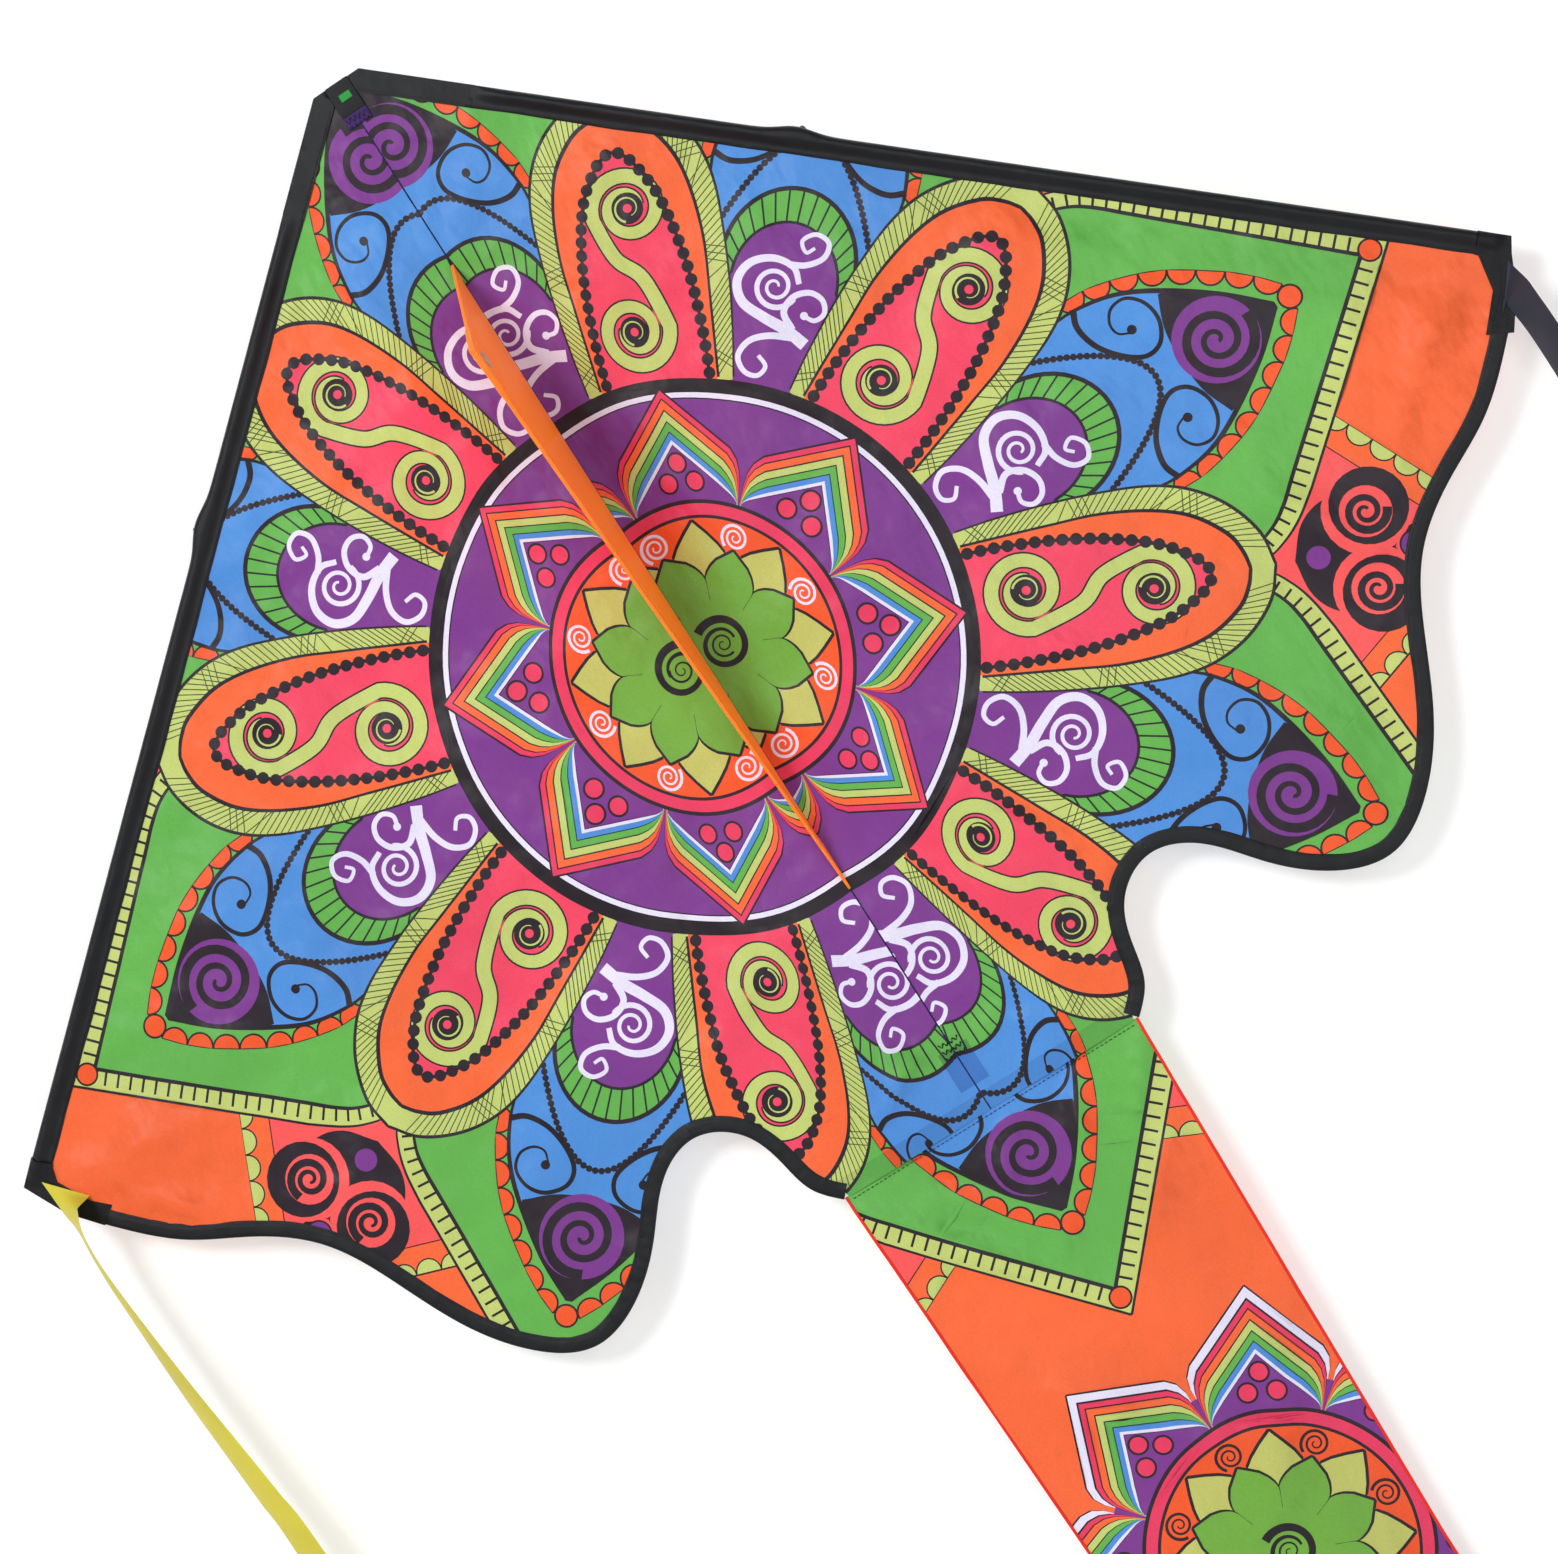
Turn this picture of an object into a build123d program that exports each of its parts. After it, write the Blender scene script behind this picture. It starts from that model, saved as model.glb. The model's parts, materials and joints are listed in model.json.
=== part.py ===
from build123d import *
import math
import os

# Single-line delta kite, hanging by its nose, in millimetres.
#
# The origin is the top of the nose. +Z points up along the spine, +X points to the right wing as
# seen from the keel side, and the keel stands towards -Y. The wings fold towards the keel about two
# vertical lines beside the spine. Each sub-part is one STEP file in parts/, named after its node.

# ---- driving dimensions of the whole kite ----
SPAN = 1168.0  # tip to tip
OVERALL = 2286.0  # nose to the end of the tail
TIP_DROP = 499.0  # nose to the wing tips, along the spine
SEAM_DROP = 798.0  # nose to the seam between sail and tail
NOSE_HALF = 18.0  # half the flat top of the nose

# ---- cloth ----
CLOTH = 0.8  # sail, keel, tail and streamers
GAP = 0.4  # clearance between bodies
SLEEVE_WIDTH = 15.0
SLEEVE_RADIUS = 4.6  # outside of the rod tunnel
SLEEVE_HEM = 1.0  # half the thickness of the stitched edge
BINDING_WIDTH = 11.0
BINDING_HALF = 0.9  # half the thickness of the folded tape

# ---- rods, caps and hinge lines ----
ROD_RADIUS = 2.5
CAP_RADIUS = 3.2
CAP_LENGTH = 16.0
HINGE_X = 9.0  # the wing fold lines
STRIP_HALF = HINGE_X - 0.8  # the sail's middle strip, which stays with the spine
PANEL_X = HINGE_X + 0.8  # inner edge of each wing panel
FLAT_SLEEVE_X = HINGE_X + 2.5

# ---- leading edge, as distances along its outer line from the nose corner ----
EDGE_RUN = math.hypot(SPAN / 2 - NOSE_HALF, TIP_DROP)
EDGE_ALONG = ((SPAN / 2 - NOSE_HALF) / EDGE_RUN, -TIP_DROP / EDGE_RUN)
EDGE_INWARD = (EDGE_ALONG[1], -EDGE_ALONG[0])
ROD_INSET = SLEEVE_RADIUS + 0.1  # rod axis to the outer line
ROD_FROM = 92.0
ROD_TO = 742.0
TUNNEL_FROM = ROD_FROM - 8.0  # the sleeve is empty and flat above this
SLEEVE_TO = 735.0

# ---- trailing edge, right side, as (x, z) ----
PATCH_CORNER = (566.0, -530.0)
EDGE_START = (550.0, -550.0)
NOTCH = (178.0, -711.0)
WAVE = [
    EDGE_START, (508, -588), (470, -609), (430, -640), (402, -688), (380, -733),
    (351, -771), (310, -794), (270, -782), (236, -752), (207, -721), NOTCH,
]
SEAM_CORNER = (115.0, -SEAM_DROP)
NECK_WAVE = [(148, -728), (137, -756), (130, -781)]
SPLIT_TOP = -600.0  # where the neck starts on the fold line

# ---- spine, on the back of the sail ----
SPINE_Y = 4.2
SPINE_TOP = -14.0
SPINE_END = -768.0
TUNNEL_RADIUS = 3.3
SPINE_TAPE_HALF = 8.0
POCKET_HALF = 11.0
POCKET_BACK = 9.2
NOSE_POCKET_END = -34.0
TAIL_POCKET = (-779.0, -750.0)

# ---- spreader bar and its fittings ----
SPREADER_Z = -196.0
SPREADER_Y = 11.2
COLLAR_RADIUS = 3.9
COLLAR_LENGTH = 26.0
CRADLE_BASE = 3.3  # front face of the cradle
CRADLE_FLOOR = 7.6  # floor of its channel
CRADLE_TOP = 14.4
CRADLE_HALF = 5.4
CHANNEL_HALF = 3.4
CRADLE_LENGTH = 21.0
STOP_WALL = 2.4

# ---- keel, as depth in front of the sail and height ----
KEEL_HINGE = 1.0
KEEL_FROM = -141.0
KEEL_TO = -626.0
KEEL_DEPTH = 140.0
TOW_Z = -212.0
KEEL_HEM = 10.0
TOW_PATCH_RADIUS = 38.0
EYELET_INSET = 20.0  # tow corner to the eyelet's centre
EYELET_HOLE = 3.0
EYELET_BARREL = 4.2
EYELET_FLANGE = 6.5
EYELET_HALF = 2.6
TOW_PATCH_HALF = 1.9

# ---- tail and streamers ----
TAIL_TOP = -SEAM_DROP - 1.6
TAIL_TOP_HALF = 114.0
TAIL_KNEE = (101.5, -1190.0)
TAIL_END_HALF = 98.0
STREAMER_X = (545.0, 573.0)
STREAMER_TOP = -530.0
STREAMER_LENGTH = 1000.0
STREAMER_FRONT = -2.6


def upright(face, y_low, y_high):
    """A flat face drawn in (x, z), as a solid between two values of y."""
    return extrude(Plane.XZ.offset(-y_high) * face, amount=y_high - y_low)


def polygon(*points):
    return make_face(Polyline(*points, close=True))


def block(x, y, z):
    """A box between pairs of limits."""
    size = [high - low for low, high in (x, y, z)]
    middle = [(low + high) / 2 for low, high in (x, y, z)]
    return Pos(*middle) * Box(*size)


def from_edge(along, inward):
    """The (x, z) point at a distance along the leading edge and a distance in from it."""
    return tuple(
        start + along * step + inward * across
        for start, step, across in zip((NOSE_HALF, 0.0), EDGE_ALONG, EDGE_INWARD)
    )


def edge_section(along):
    """A plane across the leading edge, with its x towards the sail and its y towards the back."""
    x, z = from_edge(along, 0)
    return Plane(
        origin=(x, 0, z),
        x_dir=(EDGE_INWARD[0], 0, EDGE_INWARD[1]),
        z_dir=(EDGE_ALONG[0], 0, EDGE_ALONG[1]),
    )


def edge_rod(radius, low, high):
    """A round bar on the leading edge rod's axis."""
    disc = Pos(ROD_INSET, 0) * Circle(radius)
    return extrude(edge_section(low) * disc, amount=high - low)


def edge_prism(profile, low, high):
    return extrude(edge_section(low) * profile, amount=high - low)


def tunnel_profile():
    """The sleeve's section where it holds the rod: a tube that flattens to the stitched edge."""
    tube = Pos(ROD_INSET, 0) * Circle(SLEEVE_RADIUS)
    flat = polygon(
        (ROD_INSET, SLEEVE_RADIUS), (SLEEVE_WIDTH, SLEEVE_HEM),
        (SLEEVE_WIDTH, -SLEEVE_HEM), (ROD_INSET, -SLEEVE_RADIUS),
    )
    return tube + flat


def trailing_edge():
    """The whole trailing edge of the right side, from the tip patch to the tail seam."""
    return Spline(*WAVE, *NECK_WAVE, SEAM_CORNER)


def wave_edges():
    """The wing's share of the trailing edge, down to the notch, and its stitched inner line."""
    whole = trailing_edge()
    outer = whole.trim(0, whole.param_at_point(Vector(*NOTCH)))
    return outer, inner_line(outer, 27)


def neck_edges():
    """The neck's share, from the notch to the tail seam, and its stitched inner line."""
    whole = trailing_edge()
    start = whole.param_at_point(Vector(*NOTCH)) + GAP / whole.length
    outer = whole.trim(start, 1)
    return outer, inner_line(outer, 11)


def inner_line(outer, count):
    """A curve inside the outer one by the binding's width."""
    points = []
    for step in range(count):
        place = step / (count - 1)
        tangent = outer.tangent_at(place)
        points.append(outer.position_at(place) + Vector(tangent.Y, -tangent.X) * BINDING_WIDTH)
    return Spline(*points)


def ends(edge):
    return edge.position_at(0), edge.position_at(1)


def band(outer, inner):
    """The face between an edge and its inner line."""
    (outer_start, outer_end), (inner_start, inner_end) = ends(outer), ends(inner)
    return make_face([outer, Line(outer_end, inner_end), inner, Line(inner_start, outer_start)])


def wing_panel():
    """The printed sail of one wing, inside its sleeve, patch and binding."""
    inner = wave_edges()[1]
    patch_side, notch_side = ends(inner)
    top = from_edge((PANEL_X - from_edge(0, SLEEVE_WIDTH)[0]) / EDGE_ALONG[0], SLEEVE_WIDTH)
    border = Polyline(
        notch_side, (PANEL_X, SPLIT_TOP), top, from_edge(SLEEVE_TO, SLEEVE_WIDTH), patch_side
    )
    return upright(make_face([*border.edges(), inner]), -CLOTH / 2, CLOTH / 2)


def wing_binding():
    return upright(band(*wave_edges()), -BINDING_HALF, BINDING_HALF)


def leading_rod():
    return edge_rod(ROD_RADIUS, ROD_FROM, ROD_TO)


def leading_caps():
    """The vinyl caps on the inner and outer ends of the leading edge rod."""
    rod = leading_rod()
    inner = edge_rod(CAP_RADIUS, ROD_FROM - 2, ROD_FROM - 2 + CAP_LENGTH) - rod
    outer = edge_rod(CAP_RADIUS, ROD_TO + 2 - CAP_LENGTH, ROD_TO + 2) - rod
    return inner, outer


def spreader_seat():
    """The distance along the leading edge where the rod crosses the spreader's height."""
    return (SPREADER_Z - from_edge(0, ROD_INSET)[1]) / EDGE_ALONG[1]


def leading_sleeve():
    """The black sleeve on the leading edge, with its opening for the spreader fitting."""
    hem = polygon(
        (0, SLEEVE_HEM), (SLEEVE_WIDTH, SLEEVE_HEM), (SLEEVE_WIDTH, -SLEEVE_HEM), (0, -SLEEVE_HEM)
    )
    flat_start = edge_prism(hem, -SLEEVE_WIDTH, TUNNEL_FROM)
    trim = block((FLAT_SLEEVE_X, SPAN), (-SPAN, SPAN), (-SPAN, 0))
    sleeve = (flat_start & trim) + edge_prism(tunnel_profile(), TUNNEL_FROM, SLEEVE_TO)
    seat = spreader_seat()
    half = COLLAR_LENGTH / 2
    opening = polygon(
        (-SLEEVE_RADIUS, 0), (2 * SLEEVE_RADIUS, 0),
        (2 * SLEEVE_RADIUS, 2 * SLEEVE_RADIUS), (-SLEEVE_RADIUS, 2 * SLEEVE_RADIUS),
    )
    sleeve -= edge_rod(COLLAR_RADIUS, seat - half, seat + half)
    sleeve -= edge_prism(opening, seat - half - 1, seat + half + 1)
    sleeve -= edge_rod(ROD_RADIUS, ROD_FROM, ROD_TO)
    for cap in leading_caps():
        sleeve -= cap
    return sleeve


def tip_patch():
    """The folded patch over the wing tip and the outer end of the rod."""
    inner_start = ends(wave_edges()[1])[0]
    outline = polygon(
        from_edge(SLEEVE_TO, 0), from_edge(EDGE_RUN, 0), PATCH_CORNER, EDGE_START,
        (inner_start.X, inner_start.Y), from_edge(SLEEVE_TO, SLEEVE_WIDTH),
    )
    patch = upright(outline, -1.2, 1.2)
    patch += edge_prism(tunnel_profile(), SLEEVE_TO, ROD_TO + CAP_LENGTH / 2)
    patch -= leading_rod()
    return patch - leading_caps()[1]


def spreader_fitting():
    """The plastic fitting: a collar on the leading edge rod and a cradle open at the back."""
    seat = spreader_seat()
    half = COLLAR_LENGTH / 2
    middle = from_edge(seat, ROD_INSET)[0]
    outer_end = middle + CRADLE_LENGTH / 2 - 1
    inner_end = outer_end - CRADLE_LENGTH
    body = block(
        (inner_end, outer_end),
        (CRADLE_BASE, CRADLE_TOP),
        (SPREADER_Z - CRADLE_HALF, SPREADER_Z + CRADLE_HALF),
    )
    body = fillet(body.edges().filter_by(Axis.Y), 2.0)
    channel = block(
        (inner_end - 1, outer_end - STOP_WALL),
        (CRADLE_FLOOR, CRADLE_TOP + 1),
        (SPREADER_Z - CHANNEL_HALF, SPREADER_Z + CHANNEL_HALF),
    )
    collar = edge_rod(COLLAR_RADIUS, seat - half, seat + half)
    return body - channel + collar - leading_rod()


def spreader_bar():
    """The spreader rod and its two end caps, which sit in the cradles."""
    seat_x = from_edge(spreader_seat(), ROD_INSET)[0]
    cap_end = seat_x + CRADLE_LENGTH / 2 - 1 - STOP_WALL - GAP
    turn = Pos(0, SPREADER_Y, SPREADER_Z) * Rot(0, 90, 0)
    rod = turn * Cylinder(ROD_RADIUS, 2 * (cap_end - 2))
    cap_middle = cap_end - CAP_LENGTH / 2
    cap = turn * Pos(0, 0, cap_middle) * Cylinder(CAP_RADIUS, CAP_LENGTH) - rod
    return rod, cap


def sail_center():
    """The middle strip of the sail and its neck, down to the tail seam."""
    inner = neck_edges()[1]
    notch_side, seam_side = ends(inner)
    border = Polyline(
        seam_side, SEAM_CORNER, (0, -SEAM_DROP),
        (0, -SLEEVE_WIDTH / 2), (STRIP_HALF, -SLEEVE_WIDTH / 2),
        (STRIP_HALF, SPLIT_TOP), notch_side,
    )
    half = upright(make_face([*border.edges(), inner]), -CLOTH / 2, CLOTH / 2)
    return half + mirror(half, about=Plane.YZ)


def neck_binding():
    return upright(band(*neck_edges()), -BINDING_HALF, BINDING_HALF)


def spine_rod():
    length = SPINE_TOP - SPINE_END
    return Pos(0, SPINE_Y, (SPINE_TOP + SPINE_END) / 2) * Cylinder(ROD_RADIUS, length)


def spine_cap(middle):
    return Pos(0, SPINE_Y, middle) * Cylinder(CAP_RADIUS, CAP_LENGTH) - spine_rod()


def spine_sleeve():
    """The tape sewn down the back of the sail, with a round tunnel for the spine."""
    tape = Pos(0, CLOTH / 2 + 0.5) * Rectangle(2 * SPINE_TAPE_HALF, 1)
    rise = Pos(0, SPINE_Y / 2 + 0.5) * Rectangle(2 * TUNNEL_RADIUS, SPINE_Y - 1)
    tunnel = Pos(0, SPINE_Y) * Circle(TUNNEL_RADIUS)
    bore = Pos(0, SPINE_Y) * Circle(ROD_RADIUS)
    section = tape + rise + tunnel - bore
    bottom = TAIL_POCKET[1]
    return extrude(Plane.XY.offset(bottom) * section, amount=NOSE_POCKET_END - bottom)


def nose_pocket(inside):
    """Webbing folded over the nose, which holds the top of the spine."""
    front = block((-STRIP_HALF, STRIP_HALF), (-1.8, POCKET_BACK), (NOSE_POCKET_END, 0))
    back = block((-POCKET_HALF, POCKET_HALF), (CLOTH, POCKET_BACK), (NOSE_POCKET_END, 0))
    pocket = front + back
    for piece in inside:
        pocket -= piece
    return pocket


def tail_pocket(inside):
    """The patch at the bottom of the spine, which holds its lower end."""
    pocket = block((-POCKET_HALF, POCKET_HALF), (CLOTH / 2, POCKET_BACK), TAIL_POCKET)
    for piece in inside:
        pocket -= piece
    return pocket


def heading(start, end):
    """The direction from one point of an outline to another."""
    return (Vector(*end) - Vector(*start)).normalized()


def edge_strip(start, end):
    """A long strip centred on one edge of the keel, as wide as two hems."""
    run = heading(start, end)
    middle = (Vector(*start) + Vector(*end)) / 2
    turn = Rot(0, 0, math.degrees(math.atan2(run.Y, run.X)))
    return Pos(middle.X, middle.Y) * turn * Rectangle(2 * -KEEL_TO, 2 * KEEL_HEM)


def tow_eyelet(place):
    """A metal eyelet: two flanges on a barrel, with the hole that takes the line clip."""
    eyelet = place * Cylinder(EYELET_FLANGE, 2 * EYELET_HALF)
    eyelet -= place * Cylinder(EYELET_FLANGE + 1, 2 * TOW_PATCH_HALF)
    eyelet += place * Cylinder(EYELET_BARREL, 2 * EYELET_HALF)
    return eyelet - place * Cylinder(EYELET_HOLE, 4 * EYELET_HALF)


def keel_solids():
    """The keel's cloth, hem, tow patch and eyelet."""
    side = Plane(origin=(0, 0, 0), x_dir=(0, -1, 0), z_dir=(-1, 0, 0))
    root = KEEL_HINGE + 0.2
    front, tow, rear = (root, KEEL_FROM), (KEEL_DEPTH, TOW_Z), (root, KEEL_TO)
    whole = polygon(front, tow, rear)
    hem_zone = edge_strip(front, tow) + edge_strip(tow, rear)
    hem = extrude(side * (whole & hem_zone), amount=BINDING_HALF, both=True)
    panel = extrude(side * (whole - hem_zone), amount=CLOTH / 2, both=True)
    patch_face = offset(whole, 1.0) & (Pos(*tow) * Circle(TOW_PATCH_RADIUS))
    patch = extrude(side * patch_face, amount=TOW_PATCH_HALF, both=True)
    middle = Vector(*tow) + (heading(tow, front) + heading(tow, rear)).normalized() * EYELET_INSET
    place = side * Pos(middle.X, middle.Y, 0)
    barrel = place * Cylinder(EYELET_BARREL, 4 * EYELET_HALF)
    return {
        "keel_panel": panel - barrel,
        "keel_hem": hem - barrel,
        "keel_tow_patch": patch - hem - panel - barrel,
        "keel_tow_eyelet": tow_eyelet(place),
    }


def tail_panel():
    """The printed tail, which narrows a little and hangs straight."""
    right = [
        (TAIL_TOP_HALF, TAIL_TOP), TAIL_KNEE, (TAIL_END_HALF, -OVERALL),
    ]
    left = [(-x, z) for x, z in reversed(right)]
    return upright(polygon(*right, *left), -CLOTH / 2, CLOTH / 2)


def streamer():
    return block(
        STREAMER_X,
        (STREAMER_FRONT, STREAMER_FRONT + CLOTH),
        (STREAMER_TOP - STREAMER_LENGTH, STREAMER_TOP),
    )


def both_sides(name, solid):
    return {f"{name}_right": solid, f"{name}_left": mirror(solid, about=Plane.YZ)}


def kite():
    """Every node of the kite, by name."""
    inner_cap, outer_cap = leading_caps()
    rod, spreader_cap = spreader_bar()
    center = sail_center()
    top_cap = spine_cap(SPINE_TOP + 2 - CAP_LENGTH / 2)
    bottom_cap = spine_cap(SPINE_END - 2 + CAP_LENGTH / 2)
    spine = spine_rod()
    nodes = {
        "spine_rod": spine,
        "spine_cap_nose": top_cap,
        "spine_cap_tail": bottom_cap,
        "spine_sleeve": spine_sleeve(),
        "spine_pocket_nose": nose_pocket([spine, top_cap, center]),
        "spine_pocket_tail": tail_pocket([spine, bottom_cap]),
        "sail_center": center,
        "spreader_rod": rod,
        "tail_panel": tail_panel(),
        **keel_solids(),
    }
    sides = {
        "sail": wing_panel(),
        "leading_sleeve": leading_sleeve(),
        "leading_rod": leading_rod(),
        "leading_cap_inner": inner_cap,
        "leading_cap_outer": outer_cap,
        "tip_patch": tip_patch(),
        "trailing_binding": wing_binding(),
        "neck_binding": neck_binding(),
        "spreader_fitting": spreader_fitting(),
        "spreader_cap": spreader_cap,
        "streamer": streamer(),
    }
    for name, solid in sides.items():
        nodes.update(both_sides(name, solid))
    return nodes


os.makedirs("parts", exist_ok=True)
for node_name, node_shape in kite().items():
    export_step(node_shape, f"parts/{node_name}.step")
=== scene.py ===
import math

import bmesh
import bpy
import numpy as np
from mathutils import Matrix, Vector
from mathutils.geometry import delaunay_2d_cdt
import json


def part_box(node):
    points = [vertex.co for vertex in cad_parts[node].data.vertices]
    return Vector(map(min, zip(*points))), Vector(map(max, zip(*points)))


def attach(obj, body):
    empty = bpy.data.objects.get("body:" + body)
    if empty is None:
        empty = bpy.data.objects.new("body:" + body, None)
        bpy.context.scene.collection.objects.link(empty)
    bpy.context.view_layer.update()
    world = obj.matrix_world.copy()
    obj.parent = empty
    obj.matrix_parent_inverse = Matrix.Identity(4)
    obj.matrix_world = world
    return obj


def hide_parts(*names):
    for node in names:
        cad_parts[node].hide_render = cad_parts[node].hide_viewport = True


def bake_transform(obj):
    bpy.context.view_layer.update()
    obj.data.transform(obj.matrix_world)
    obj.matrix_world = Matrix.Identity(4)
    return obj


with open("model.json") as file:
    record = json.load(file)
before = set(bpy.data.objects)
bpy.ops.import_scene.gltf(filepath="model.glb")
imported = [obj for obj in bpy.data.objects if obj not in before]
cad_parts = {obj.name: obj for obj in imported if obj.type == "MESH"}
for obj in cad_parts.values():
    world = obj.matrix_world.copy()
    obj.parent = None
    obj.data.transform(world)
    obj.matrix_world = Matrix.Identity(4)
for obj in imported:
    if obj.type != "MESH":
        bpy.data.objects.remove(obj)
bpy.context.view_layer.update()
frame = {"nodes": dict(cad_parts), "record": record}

MM = 0.001
NODES = frame["nodes"]

# ---------------------------------------------------------------- sizes, in millimetres
SPAN = 1168.0
OVERALL = 2286.0
NOSE_HALF = 18.0
TIP_DROP = 499.0
SEAM_DROP = 798.0
HINGE_X = 9.0
STRIP_HALF = 8.2
SPLIT_TOP = -600.0
EDGE_RUN = math.hypot(SPAN / 2 - NOSE_HALF, TIP_DROP)
EDGE_ALONG = ((SPAN / 2 - NOSE_HALF) / EDGE_RUN, -TIP_DROP / EDGE_RUN)
EDGE_INWARD = (EDGE_ALONG[1], -EDGE_ALONG[0])
NOTCH = (178.0, -711.0)
WAVE = [
    (550.0, -550.0), (508, -588), (470, -609), (430, -640), (402, -688), (380, -733),
    (351, -771), (310, -794), (270, -782), (236, -752), (207, -721), NOTCH,
    (148, -728), (137, -756), (130, -781), (115.0, -SEAM_DROP),
]
NOTCH_INDEX = 11
PRINT_CENTER = (0.0, -446.0)

# ---------------------------------------------------------------- the print's colours (sRGB)
PALETTE = {
    "green": (0.37, 0.66, 0.29),
    "olive": (0.42, 0.64, 0.24),
    "lime": (0.72, 0.77, 0.43),
    "sand": (0.72, 0.73, 0.39),
    "orange": (0.92, 0.39, 0.21),
    "flame": (0.90, 0.33, 0.15),
    "pink": (0.86, 0.22, 0.36),
    "rose": (0.90, 0.26, 0.37),
    "red": (0.93, 0.33, 0.33),
    "purple": (0.46, 0.21, 0.53),
    "blue": (0.29, 0.53, 0.81),
    "ink": (0.13, 0.105, 0.13),
    "slate": (0.15, 0.12, 0.15),
    "pale": (0.86, 0.84, 0.92),
    "hatch": (0.27, 0.31, 0.17),
    "seam": (0.10, 0.11, 0.34),
}


def to_linear(value):
    return value / 12.92 if value <= 0.04045 else ((value + 0.055) / 1.055) ** 2.4


def linear(color):
    return tuple(to_linear(value) for value in color)


# ---------------------------------------------------------------- plane geometry
def spline_through(points, steps):
    """A Catmull-Rom curve through the points, as an array."""
    p = np.asarray(points, float)
    p = np.vstack([2 * p[0] - p[1], p, 2 * p[-1] - p[-2]])
    t = np.linspace(0, 1, steps, endpoint=False)[:, None]
    rows = []
    for a, b, c, d in zip(p[:-3], p[1:-2], p[2:-1], p[3:]):
        rows.append(
            0.5 * (2 * b + (c - a) * t + (2 * a - 5 * b + 4 * c - d) * t**2
                   + (3 * b - a - 3 * c + d) * t**3)
        )
    rows.append(p[-2:-1])
    return np.vstack(rows)


def natural_spline(points, steps):
    """The natural cubic through the points over their chord length, as an array."""
    p = np.asarray(points, float)
    knots = np.concatenate([[0], np.cumsum(np.linalg.norm(np.diff(p, axis=0), axis=1))])
    h = np.diff(knots)
    n = len(p)
    system = np.eye(n)
    right = np.zeros((n, 2))
    slope = np.diff(p, axis=0) / h[:, None]
    for i in range(1, n - 1):
        system[i, i - 1:i + 2] = h[i - 1], 2 * (h[i - 1] + h[i]), h[i]
        right[i] = 6 * (slope[i] - slope[i - 1])
    second = np.linalg.solve(system, right)
    rows = []
    for i in range(n - 1):
        t = np.linspace(0, h[i], steps, endpoint=False)[:, None]
        rows.append(
            p[i] + (slope[i] - h[i] * (2 * second[i] + second[i + 1]) / 6) * t
            + second[i] * t**2 / 2 + (second[i + 1] - second[i]) * t**3 / (6 * h[i])
        )
    rows.append(p[-1:])
    return np.vstack(rows)


def normals_of(points):
    """Unit normals to the left of a polyline."""
    run = np.gradient(np.asarray(points, float), axis=0)
    run /= np.maximum(np.linalg.norm(run, axis=1), 1e-9)[:, None]
    return np.stack([-run[:, 1], run[:, 0]], 1)


def stroke(points, width):
    """A line of one width or of a width at each point, as a closed outline."""
    points = np.asarray(points, float)
    half = np.broadcast_to(np.asarray(width, float) / 2, len(points))[:, None]
    side = normals_of(points) * half
    return np.vstack([points + side, (points - side)[::-1]])


def circle(center, radius, count=24):
    angle = np.linspace(0, 2 * math.pi, count, endpoint=False)
    return np.stack([center[0] + radius * np.cos(angle), center[1] + radius * np.sin(angle)], 1)


def half_disc(center, radius, facing, count=12):
    """Half a disc, with its round side towards an angle."""
    angle = facing + np.linspace(-math.pi / 2, math.pi / 2, count)
    return np.stack([center[0] + radius * np.cos(angle), center[1] + radius * np.sin(angle)], 1)


def coil(center, start, turns, inner, outer, count=40):
    """A spiral line that grows from inner to outer radius, from a start angle in degrees."""
    t = np.linspace(0, 1, count)
    angle = math.radians(start) + 2 * math.pi * turns * t
    radius = inner + (outer - inner) * t
    return np.stack([center[0] + radius * np.cos(angle), center[1] + radius * np.sin(angle)], 1)


def mirrored(points):
    """The same points with v negated, in reverse order."""
    return np.asarray(points, float)[::-1] * (1, -1)


def along(points, spacing):
    """Points at an even spacing along a polyline, and the direction there."""
    points = np.asarray(points, float)
    length = np.concatenate([[0], np.cumsum(np.linalg.norm(np.diff(points, axis=0), axis=1))])
    count = max(int(round(length[-1] / spacing)), 1)
    place = (np.arange(count) + 0.5) * length[-1] / count
    spots = np.stack([np.interp(place, length, points[:, k]) for k in (0, 1)], 1)
    ahead = np.stack([np.interp(place + 0.5, length, points[:, k]) for k in (0, 1)], 1)
    return spots, np.arctan2(*(ahead - spots)[:, ::-1].T)


# ---------------------------------------------------------------- one sector of the print
# Each ornament is drawn in (u, v): u runs out from the centre along the sector's axis, v across
# it. A layer is a list of (colour, outline), and a later outline covers an earlier one.
def outline_of(half):
    """A closed outline from one side's points, mirrored about the axis."""
    return np.vstack([half, mirrored(half)])


def rimmed(color, half, grow):
    """A shape from one side's points, over a dark one that is grown past it."""
    return [("slate", outline_of(half + grow)), (color, outline_of(half))]


def dot(center, rim, color, radius, count=24):
    """A coloured disc over a dark one."""
    return [("slate", circle(center, rim, count)), (color, circle(center, radius, count))]


def scallop(center, rim, color, radius, facing):
    """Half a coloured disc over half a dark one."""
    return [("slate", half_disc(center, rim, facing)), (color, half_disc(center, radius, facing))]


def tapered(color, line, first, last):
    """A line whose width goes evenly from first to last."""
    return color, stroke(line, np.linspace(first, last, len(line)))


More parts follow.
